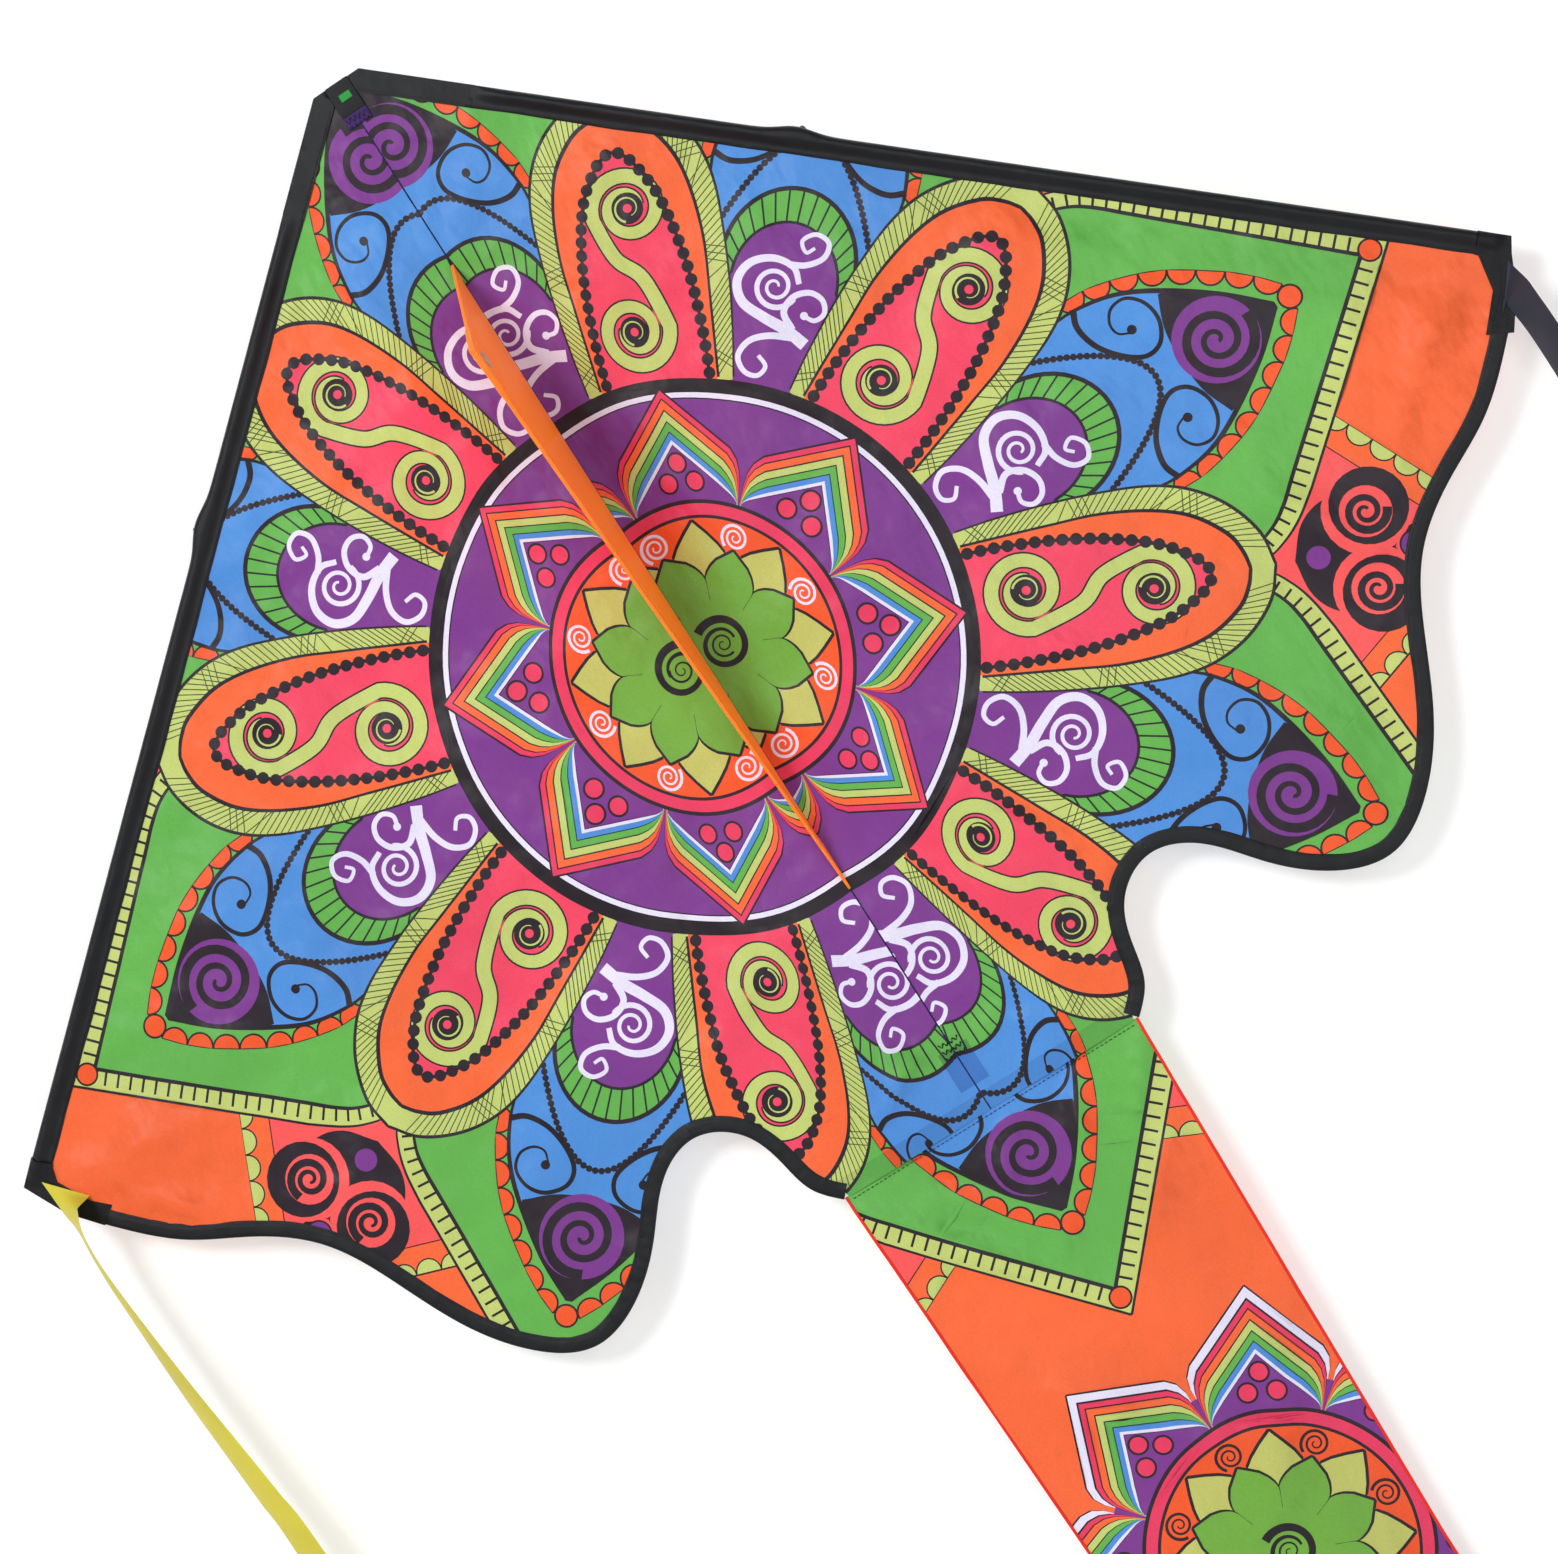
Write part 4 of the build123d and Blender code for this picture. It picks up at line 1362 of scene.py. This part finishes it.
def add_tail_pocket():
    """Webbing over the spine's foot, held by three zigzags on the front."""
    back = rounded_box("tail_pocket_webbing", (-11, 11), (0.5, 9.2), (-779, -750), 1.6)
    piece("tail_pocket_webbing", back, WEBBING, "spine", "black_webbing", ["spine_pocket_tail"])
    add_pocket_stitches("tail", (-752.5, -776.0))
    for index, z in enumerate((-746, -751, -756)):
        stitch_row(
            f"spine_end_zigzag_{index}", across_spine(7.2, -0.3, z, 9, 2.0), (0, -1, 0), THREAD, "spine",
            "black_cloth", pitch=2.6, length=2.4, thick=0.9,
        )


# ---------------------------------------------------------------- caps, eyelet
CAP_PROFILE = [
    (-0.3, 0.6), (-0.25, 2.2), (0.2, 2.9), (1.0, 3.2), (2.4, 3.25), (2.7, 3.05), (3.1, 3.05),
    (3.4, 3.22), (8.0, 3.2), (12.8, 3.15), (14.6, 3.2), (15.0, 3.34), (15.8, 3.34), (16.0, 3.1),
    (16.05, 2.55), (14.0, 2.52),
]


def add_cap(node, origin, axis, body):
    """A vinyl end cap: a round closed end, a groove and a rolled lip."""
    name = f"{node}_vinyl"
    mesh = outward(grid_mesh(name, lathe_rows(CAP_PROFILE, origin, axis), loop=True, cap=True))
    piece(name, mesh, VINYL, body, "cap", [node])


def add_caps():
    """Two caps on each leading rod, two on the spreader and two on the spine."""
    for name, side in SIDES:
        for place, run, sense in (("inner", 90, 1), ("outer", 744, -1)):
            x, z = from_edge(run, ROD_INSET)
            axis = (EDGE_ALONG[0] * side * sense, 0, EDGE_ALONG[1] * sense)
            add_cap(f"leading_cap_{place}_{name}", (x * side, 0.0, z), axis, f"wing_{name}")
        low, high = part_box(f"spreader_cap_{name}")
        tip = (high[0] if side > 0 else low[0]) / MM
        middle = ((low[1] + high[1]) / 2 / MM, (low[2] + high[2]) / 2 / MM)
        add_cap(f"spreader_cap_{name}", (tip, *middle), (-side, 0, 0), "spreader")
    add_cap("spine_cap_nose", (0, 4.2, -12), (0, 0, -1), "spine")
    add_cap("spine_cap_tail", (0, 4.2, -770), (0, 0, 1), "spine")


# a rolled barrel with two flanges, from one end round its outside and back through its hole
EYELET_PROFILE = [
    (-1.95, 6.4), (-2.35, 6.45), (-2.6, 6.0), (-2.6, 4.6), (-2.5, 3.6), (-2.1, 3.1), (-1.5, 3.0),
    (0, 3.0), (1.5, 3.0), (2.1, 3.1), (2.5, 3.6), (2.6, 4.6), (2.6, 6.0), (2.35, 6.45),
    (1.95, 6.4), (1.95, 4.2), (0, 4.2), (-1.95, 4.2), (-1.95, 6.4),
]


def add_eyelet():
    low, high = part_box("keel_tow_eyelet")
    middle = [(a + b) / 2 / MM for a, b in zip(low, high)]
    rows = lathe_rows(EYELET_PROFILE, middle, (1, 0, 0), 48)
    mesh = outward(grid_mesh("keel_tow_eyelet_metal", rows, loop=True))
    piece("keel_tow_eyelet_metal", mesh, METAL, "keel", "eyelet", ["keel_tow_eyelet"])


# ---------------------------------------------------------------- keel
KEEL_FRONT = (1.2, -141.0)
KEEL_TOW = (140.0, -212.0)
KEEL_REAR = (1.2, -626.0)
KEEL_DEPTH = 140.0
KEEL_CORNERS = np.array([KEEL_FRONT, KEEL_TOW, KEEL_REAR])


def keel_curl(depth, z, lift=0.0):
    """The keel hangs in a slight curl; x for a point at that depth and height."""
    free = np.clip(depth / KEEL_DEPTH, 0, 1)
    slow = free**1.6 * (0.6 * ripple(z / 90.0, depth / 60.0, 2.0))
    return lift + slow + 0.3 * free * ripple(z / 23.0, depth / 17.0, 0.5)


def keel_plate(name, outline, spacing, half, material, slot, nodes):
    """A closed plate in the keel's plane, with depth as its first axis."""
    mesh = plate_mesh(
        name, outline, spacing,
        lambda d, z: keel_curl(d, z, -half), lambda d, z: keel_curl(d, z, half),
    )
    count = len(mesh.vertices)
    flat = np.empty(count * 3)
    mesh.vertices.foreach_get("co", flat)
    flat = flat.reshape(-1, 3)
    hung = np.stack([flat[:, 1], -flat[:, 0], flat[:, 2]], 1)
    mesh.vertices.foreach_set("co", hung.ravel())
    outward(mesh)
    return piece(name, mesh, material, "keel", slot, nodes)


def moved_in(a, b, distance):
    """A point and the direction of the line from a to b, once it is moved towards the keel's middle."""
    aim = (b - a) / np.linalg.norm(b - a)
    side = np.array((-aim[1], aim[0]))
    if side @ (KEEL_CORNERS.mean(0) - a) < 0:
        side = -side
    return a + side * distance, aim


def keel_inset(distance):
    """The keel's corners, moved in from its two free edges."""
    front, tow, rear = KEEL_CORNERS
    (p, u), (q, v) = moved_in(front, tow, distance), moved_in(tow, rear, distance)
    solve = np.linalg.solve(np.array([u, -v]).T, q - p)
    corner = p + u * solve[0]
    top = p + u * ((front[0] - p[0]) / u[0])
    foot = q + v * ((rear[0] - q[0]) / v[0])
    return np.array([top, corner, foot])


def around_tow(radius, start, end, count):
    """An arc round the tow corner, between two angles."""
    return [
        KEEL_CORNERS[1] + radius * np.array((math.cos(angle), math.sin(angle)))
        for angle in np.linspace(start, end, count)
    ]


def add_keel():
    """A hemmed triangle of cloth, doubled at its tow corner, with its rows of thread."""
    front, tow, rear = KEEL_CORNERS
    hem = np.vstack([KEEL_CORNERS, keel_inset(10.0)[::-1]])
    cloth = keel_plate("keel_cloth_panel", keel_inset(8.5), 6.0, 0.4, KEEL, "keel_cloth", ["keel_panel"])
    keel_plate("keel_hem_fold", hem, 5.0, 0.95, KEEL, "keel_cloth", ["keel_hem"])
    top_aim = (front - tow) / np.linalg.norm(front - tow)
    low_aim = (rear - tow) / np.linalg.norm(rear - tow)
    start, end = math.atan2(top_aim[1], top_aim[0]), math.atan2(low_aim[1], low_aim[0])
    if end < start:
        end += 2 * math.pi
    patch = np.vstack([[tow + (0.8, 0.2)], around_tow(37.0, start, end, 16)])
    keel_plate("keel_tow_patch_cloth", patch, 3.0, 1.75, KEEL, "keel_cloth", ["keel_tow_patch"])
    seam_line = keel_inset(8.0)
    for label, ends in (("hem_top", seam_line[:2]), ("hem_low", seam_line[1:])):
        for face, sign in (("right", 1), ("left", -1)):
            spots = [ends[0] + (ends[1] - ends[0]) * t for t in np.linspace(0.02, 0.98, 60)]
            path = [
                (keel_curl(d, z, sign * 1.05) + sign * 0.1, -d, z) for d, z in spots
                if np.hypot(d - tow[0], z - tow[1]) > 38
            ]
            stitch_row(
                f"keel_{label}_stitches_{face}", path, (sign, 0, 0), ORANGE_THREAD, "keel", "keel_cloth",
            )
    for face, sign in (("right", 1), ("left", -1)):
        arc = [
            (keel_curl(d, z, sign * 1.9), -d, z)
            for d, z in around_tow(34.0, start + 0.06, end - 0.06, 24)
        ]
        stitch_row(f"keel_patch_stitches_{face}", arc, (sign, 0, 0), ORANGE_THREAD, "keel", "keel_cloth")


# ---------------------------------------------------------------- tail and streamers
TAIL_TOP = -SEAM_DROP + 0.6
TAIL_TOP_HALF = 114
TAIL_KNEE = (101.5, -1190.0)
TAIL_END_HALF = 98.0
TAIL_SPLIT = -1542.0


def tail_half(z):
    """Half the tail's width, which falls to a knee and then more slowly to the end."""
    knee_half, knee = TAIL_KNEE
    upper = TAIL_TOP_HALF + (knee_half - TAIL_TOP_HALF) * (z - TAIL_TOP) / (knee - TAIL_TOP)
    lower = knee_half + (TAIL_END_HALF - knee_half) * (z - knee) / (-OVERALL - knee)
    return np.where(z > knee, upper, lower)


TAIL_CREASES = [
    # no side: these cross the tail's middle
    (0, (-112, -806), (-30, -900), 7, -2.2),
    (0, (-110, -830), (20, -960), 9, -2.4),
    (0, (-70, -802), (-20, -850), 6, 1.6),
    (0, (10, -800), (-30, -870), 8, -1.8),
    (0, (60, -802), (20, -890), 8, -2.0),
    (0, (112, -806), (50, -890), 8, -2.2),
    (0, (108, -850), (10, -960), 10, -2.4),
    (0, (-106, -930), (60, -1130), 13, -2.6),
    (0, (106, -1000), (-20, -1160), 12, -2.2),
    (0, (-100, -1200), (40, -1400), 15, -2.6),
    (0, (100, -1300), (-40, -1480), 14, -2.4),
    (0, (-98, -1600), (40, -1800), 16, -2.6),
    (0, (98, -1750), (-40, -1960), 15, -2.4),
    (0, (-98, -2000), (30, -2180), 14, -2.4),
]


def tail_shape(x, z):
    """Long soft folds that grow down the tail."""
    drop = np.clip((TAIL_TOP - z) / 500.0, 0, 1)
    ease = smooth_step(TAIL_TOP - z, 0, 130)
    fold = -3.5 * np.sin(x / 46.0 + z / 330.0) - 2.0 * np.sin(x / 24.0 - z / 210.0)
    slow = -5.0 * np.sin((z - TAIL_TOP) / 270.0)
    edge = smooth_step(TAIL_TOP - z, 0, 12)
    return 0.7 * (1 - ease) + (fold * drop + slow * drop) * ease + 2.3 * creased(x, z, TAIL_CREASES) * edge


SIDE_HEM_RING = [
    (0.3, 0), (0.1, -0.7), (-0.8, -0.85), (-1.7, -0.6), (-1.9, 0), (-1.7, 0.6), (-0.8, 0.85), (0.1, 0.7),
]
END_HEM_RING = [(0, 0), (0.4, -0.8), (3.4, -0.9), (5, 0), (3.4, 0.9), (0.4, 0.8)]


def add_side_hem(name, side, top, foot):
    """A thin rolled hem that follows one edge of the tail."""
    rows = []
    for k in np.linspace(top, foot, 150):
        x = float(tail_half(k)) * side
        y = float(tail_shape(np.array(x - 1.0 * side), np.array(k)))
        rows.append([(x + a * side, y + b, k) for a, b in SIDE_HEM_RING])
    mesh = outward(grid_mesh(name, rows, loop=True, cap=True))
    piece(name, mesh, RED_HEM, "tail", "tail_print")


def add_end_hem():
    """The tail's end, turned up and sewn."""
    rows = []
    for x in np.linspace(-TAIL_END_HALF + 1, TAIL_END_HALF - 1, 40):
        y = float(tail_shape(np.array(x), np.array(-OVERALL + 2.0)))
        rows.append([(x, y + b, -OVERALL + a) for a, b in END_HEM_RING])
    mesh = outward(grid_mesh("tail_end_hem", rows, loop=True, cap=True))
    piece("tail_end_hem", mesh, RED_HEM, "tail", "tail_print")


def add_tail():
    """The tail in two printed lengths, with its hems and the seam to the sail."""
    rows = tail_print()
    fine = 10.0
    for name, top, foot in (("upper", TAIL_TOP, TAIL_SPLIT), ("lower", TAIL_SPLIT, -OVERALL)):
        z = [top, *[k for k in (TAIL_KNEE[1],) if foot < k < top], foot]
        edge = [(float(tail_half(k)), k) for k in z]
        outline = np.array(edge + [(-half, k) for half, k in edge[::-1]])
        mesh = printed_mesh(f"tail_{name}_cloth", outline[::-1], rows, "orange", fine, tail_shape)
        made = piece(
            f"tail_{name}_cloth", mesh, PRINT, "tail", "tail_print",
            ["tail_panel"] if name == "upper" else (),
        )
        for edge_name, side in SIDES:
            add_side_hem(f"tail_hem_{name}_{edge_name}", side, top, foot)
    seam = [(x, 0.1, TAIL_TOP - 3.2) for x in np.linspace(-110, 110, 50)]
    stitch_row("tail_seam_stitches", seam, (0, -1, 0), THREAD, "tail", "tail_print", thick=0.5)
    add_end_hem()


# each ribbon's line as (drop, x) and how far it is turned from the sail's plane as (drop, degrees)
RIBBON_LINES = (
    [(0, 567), (60, 569), (300, 566), (700, 562), (1000, 560)],
    [(0, -561), (38, -564), (90, -562.5), (145, -559.5), (190, -556), (235, -552.5), (280, -549.5),
     (500, -547.5), (1000, -551)],
)
RIBBON_TURNS = (
    [(0, 50), (60, 54), (300, 42), (650, 30), (1000, 26)],
    [(0, 52), (10, 63), (24, 67), (60, 64), (120, 56), (220, 43), (300, 36), (600, 22), (1000, 14)],
)


RIBBON_HALF = 14.0
RIBBON_TOP = -530.5


def streamer_rows(line, turns):
    """A ribbon that follows a line of (drop, x) and turns edge-on by (drop, degrees)."""
    drops = np.concatenate([np.linspace(0, 120, 41), np.linspace(126, 999, 118)])
    line, turns = spline_through(line, 12), spline_through(turns, 12)
    rows = []
    for drop in drops:
        x0 = float(np.interp(drop, line[:, 0], line[:, 1]))
        turn = math.radians(float(np.interp(drop, turns[:, 0], turns[:, 1])))
        row = []
        for share in np.linspace(-1, 1, 9):
            across = RIBBON_HALF * share
            cup = 1.6 * (share * share - 1) * min(drop / 60.0, 1)
            x = across * math.cos(turn) + cup * math.sin(turn)
            y = -across * math.sin(turn) + cup * math.cos(turn) - RIBBON_HALF * math.sin(turn)
            y -= 0.5 * math.sin(drop / 60.0 + share) * min(drop / 150.0, 1)
            row.append((x0 + x, -2.7 + y, RIBBON_TOP - drop))
        rows.append(row)
    return np.array(rows)


RIBBONS = tuple(zip(
    SIDES, RIBBON_LINES, RIBBON_TURNS, (BLACK, YELLOW), ("streamer_black", "streamer_yellow"),
))


def add_streamers():
    """Both ribbons leave the tips nearly edge-on and turn towards the front as they hang."""
    for (name, _), line, turns, material, slot in RIBBONS:
        mesh = grid_mesh(f"streamer_{name}_ribbon", streamer_rows(line, turns))
        made = piece(
            f"streamer_{name}_ribbon", mesh, material, f"streamer_{name}", slot, [f"streamer_{name}"]
        )


# each sewn seam's two ends in (x, z), and where the root starts and ends its turn with the ribbon
SEWN_SEAMS = {"right": ((551, -541), (574, -511)), "left": ((-571, -502.5), (-548, -527.5))}


def add_streamer_roots():
    """The sewn ends of the ribbons, folded from the wing tips round to where each ribbon hangs."""
    for (name, _), line, turns, material, slot in RIBBONS:
        ribbon = streamer_rows(line, turns)[0]
        (ax, az), (bx, bz) = SEWN_SEAMS[name]
        share = np.linspace(0, 1, len(ribbon))
        x, z = ax + (bx - ax) * share, az + (bz - az) * share
        seam = np.stack([x, -2.4 + 0.3 * ripple(x / 5.0, z / 4.0, 1.0), z], 1)
        rows = []
        for t in np.linspace(0, 1, 9):
            hang = t * t * (3 - 2 * t)
            row = seam + (ribbon - seam) * t
            row[:, 1] = seam[:, 1] + (ribbon[:, 1] - seam[:, 1]) * hang
            rows.append(row)
        mesh = grid_mesh(f"streamer_root_{name}", rows)
        root = piece(f"streamer_root_{name}", mesh, material, None, slot)
        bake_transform(root)


# ---------------------------------------------------------------- carried-over CAD nodes
def dress_nodes():
    """The rods and fittings are shown as the CAD made them, in their own materials."""
    finishes = {"rod": ROD, "fitting": NYLON}
    for row in frame["record"]["subparts"]:
        node = NODES[row["node"]]
        if node.hide_render or row["material_slot"] not in finishes:
            continue
        node.data.materials.clear()
        node.data.materials.append(finishes[row["material_slot"]])


# ---------------------------------------------------------------- stage, lights and camera
def add_stage():
    """A white wall just behind the kite and a pale floor under it."""
    wall_y, floor_z, top, reach = 0.031, -2.42, 2.2, 5.0
    wall = bpy.data.meshes.new("wall")
    wall.from_pydata(
        [(-reach, wall_y, floor_z), (reach, wall_y, floor_z), (reach, wall_y, top), (-reach, wall_y, top)],
        [], [(0, 1, 2, 3)],
    )
    floor = bpy.data.meshes.new("floor")
    floor.from_pydata(
        [(x, y, floor_z) for x, y in ((-reach, -reach), (reach, -reach), (reach, reach), (-reach, reach))],
        [], [(0, 1, 2, 3)],
    )
    for mesh, name in ((wall, "wall"), (floor, "floor")):
        stage = bpy.data.objects.new(name, mesh)
        bpy.context.scene.collection.objects.link(stage)
        material, tree, shader = new_material(f"{name}_paint")
        where = coordinates(tree)
        low, high = ((0.59, 0.59, 0.59), (0.61, 0.61, 0.61))
        if name == "floor":
            low, high = ((0.77, 0.765, 0.76), (0.79, 0.785, 0.78))
        tree.links.new(ramped(tree, noise(tree, where, 3, 2), low, high), shader.inputs["Base Color"])
        set_socket(shader, "Roughness", 0.95)
        set_socket(shader, "Specular IOR Level", 0.1)
        if name == "wall":
            set_socket(shader, "Emission Color", (1, 1, 1, 1))
            set_socket(shader, "Emission Strength", 0.42)
            clear = add(tree, "ShaderNodeBsdfTransparent")
            mix = add(tree, "ShaderNodeMixShader")
            facing = add(tree, "ShaderNodeNewGeometry")
            tree.links.new(facing.outputs["Backfacing"], mix.inputs[0])
            tree.links.new(shader.outputs[0], mix.inputs[1])
            tree.links.new(clear.outputs[0], mix.inputs[2])
            tree.links.new(mix.outputs[0], tree.nodes["Material Output"].inputs["Surface"])
            stage.visible_shadow = False
        mesh.materials.append(material)


def aimed(obj, target):
    """Turns a lamp towards a point."""
    obj.rotation_euler = (Vector(target) - obj.location).to_track_quat("-Z", "Y").to_euler()


def add_lights():
    """Soft lamps as (name, place, size, watts, target) in metres, and a dim white world."""
    world = bpy.data.worlds.new("studio")
    bpy.context.scene.world = world
    world.use_nodes = True
    background = world.node_tree.nodes["Background"]
    set_socket(background, "Color", (0.97, 0.98, 1.0, 1))
    set_socket(background, "Strength", 0.27)
    for name, spot, size, power, target in (
        ("key", (-1.15, -3.7, 1.95), 1.3, 140, (0, 0, -0.6)),
        ("fill", (0.95, -2.2, -0.4), 1.2, 14, (0.5, 0, -0.5)),
        ("side", (-3.6, -1.3, -0.2), 1.2, 19, (0, 0, -0.4)),
        ("back", (0.6, 3.0, 0.4), 2.2, 60, (0, 0, -0.9)),
        ("low", (0.4, -2.4, -2.0), 2.0, 9, (0, 0, -1.4)),
    ):
        light = bpy.data.lights.new(name, "AREA")
        light.size = size
        light.energy = power
        lamp = bpy.data.objects.new(name, light)
        lamp.location = spot
        aimed(lamp, target)
        bpy.context.scene.collection.objects.link(lamp)


def add_camera():
    """A long lens square to the sail but for a small yaw, rolled so that the nose points up left."""
    camera = bpy.data.cameras.new("camera")
    camera.sensor_width = 36.0
    camera.lens = 92.31
    body = bpy.data.objects.new("camera", camera)
    yaw, pitch, roll = (math.radians(a) for a in (-7.55, -0.52, 32.56))
    ahead = Vector((math.sin(yaw) * math.cos(pitch), math.cos(yaw) * math.cos(pitch), math.sin(pitch)))
    level = Vector((0, 0, 1))
    up = (level - ahead * level.dot(ahead)).normalized()
    right = ahead.cross(up)
    rolled_up = up * math.cos(roll) + right * math.sin(roll)
    rolled_right = ahead.cross(rolled_up)
    turn = Matrix((rolled_right, rolled_up, -ahead)).transposed().to_4x4()
    body.matrix_world = Matrix.Translation((0.3446, -2.600, -0.5154)) @ turn
    bpy.context.scene.collection.objects.link(body)
    bpy.context.scene.camera = body


add_camera()
add_stage()
add_lights()
add_sail()
add_sleeves()
add_bindings()
add_tip_patches()
add_spine()
add_caps()
add_eyelet()
add_keel()
add_tail()
add_streamers()
add_streamer_roots()
dress_nodes()
bpy.context.scene.view_settings.view_transform = "Standard"
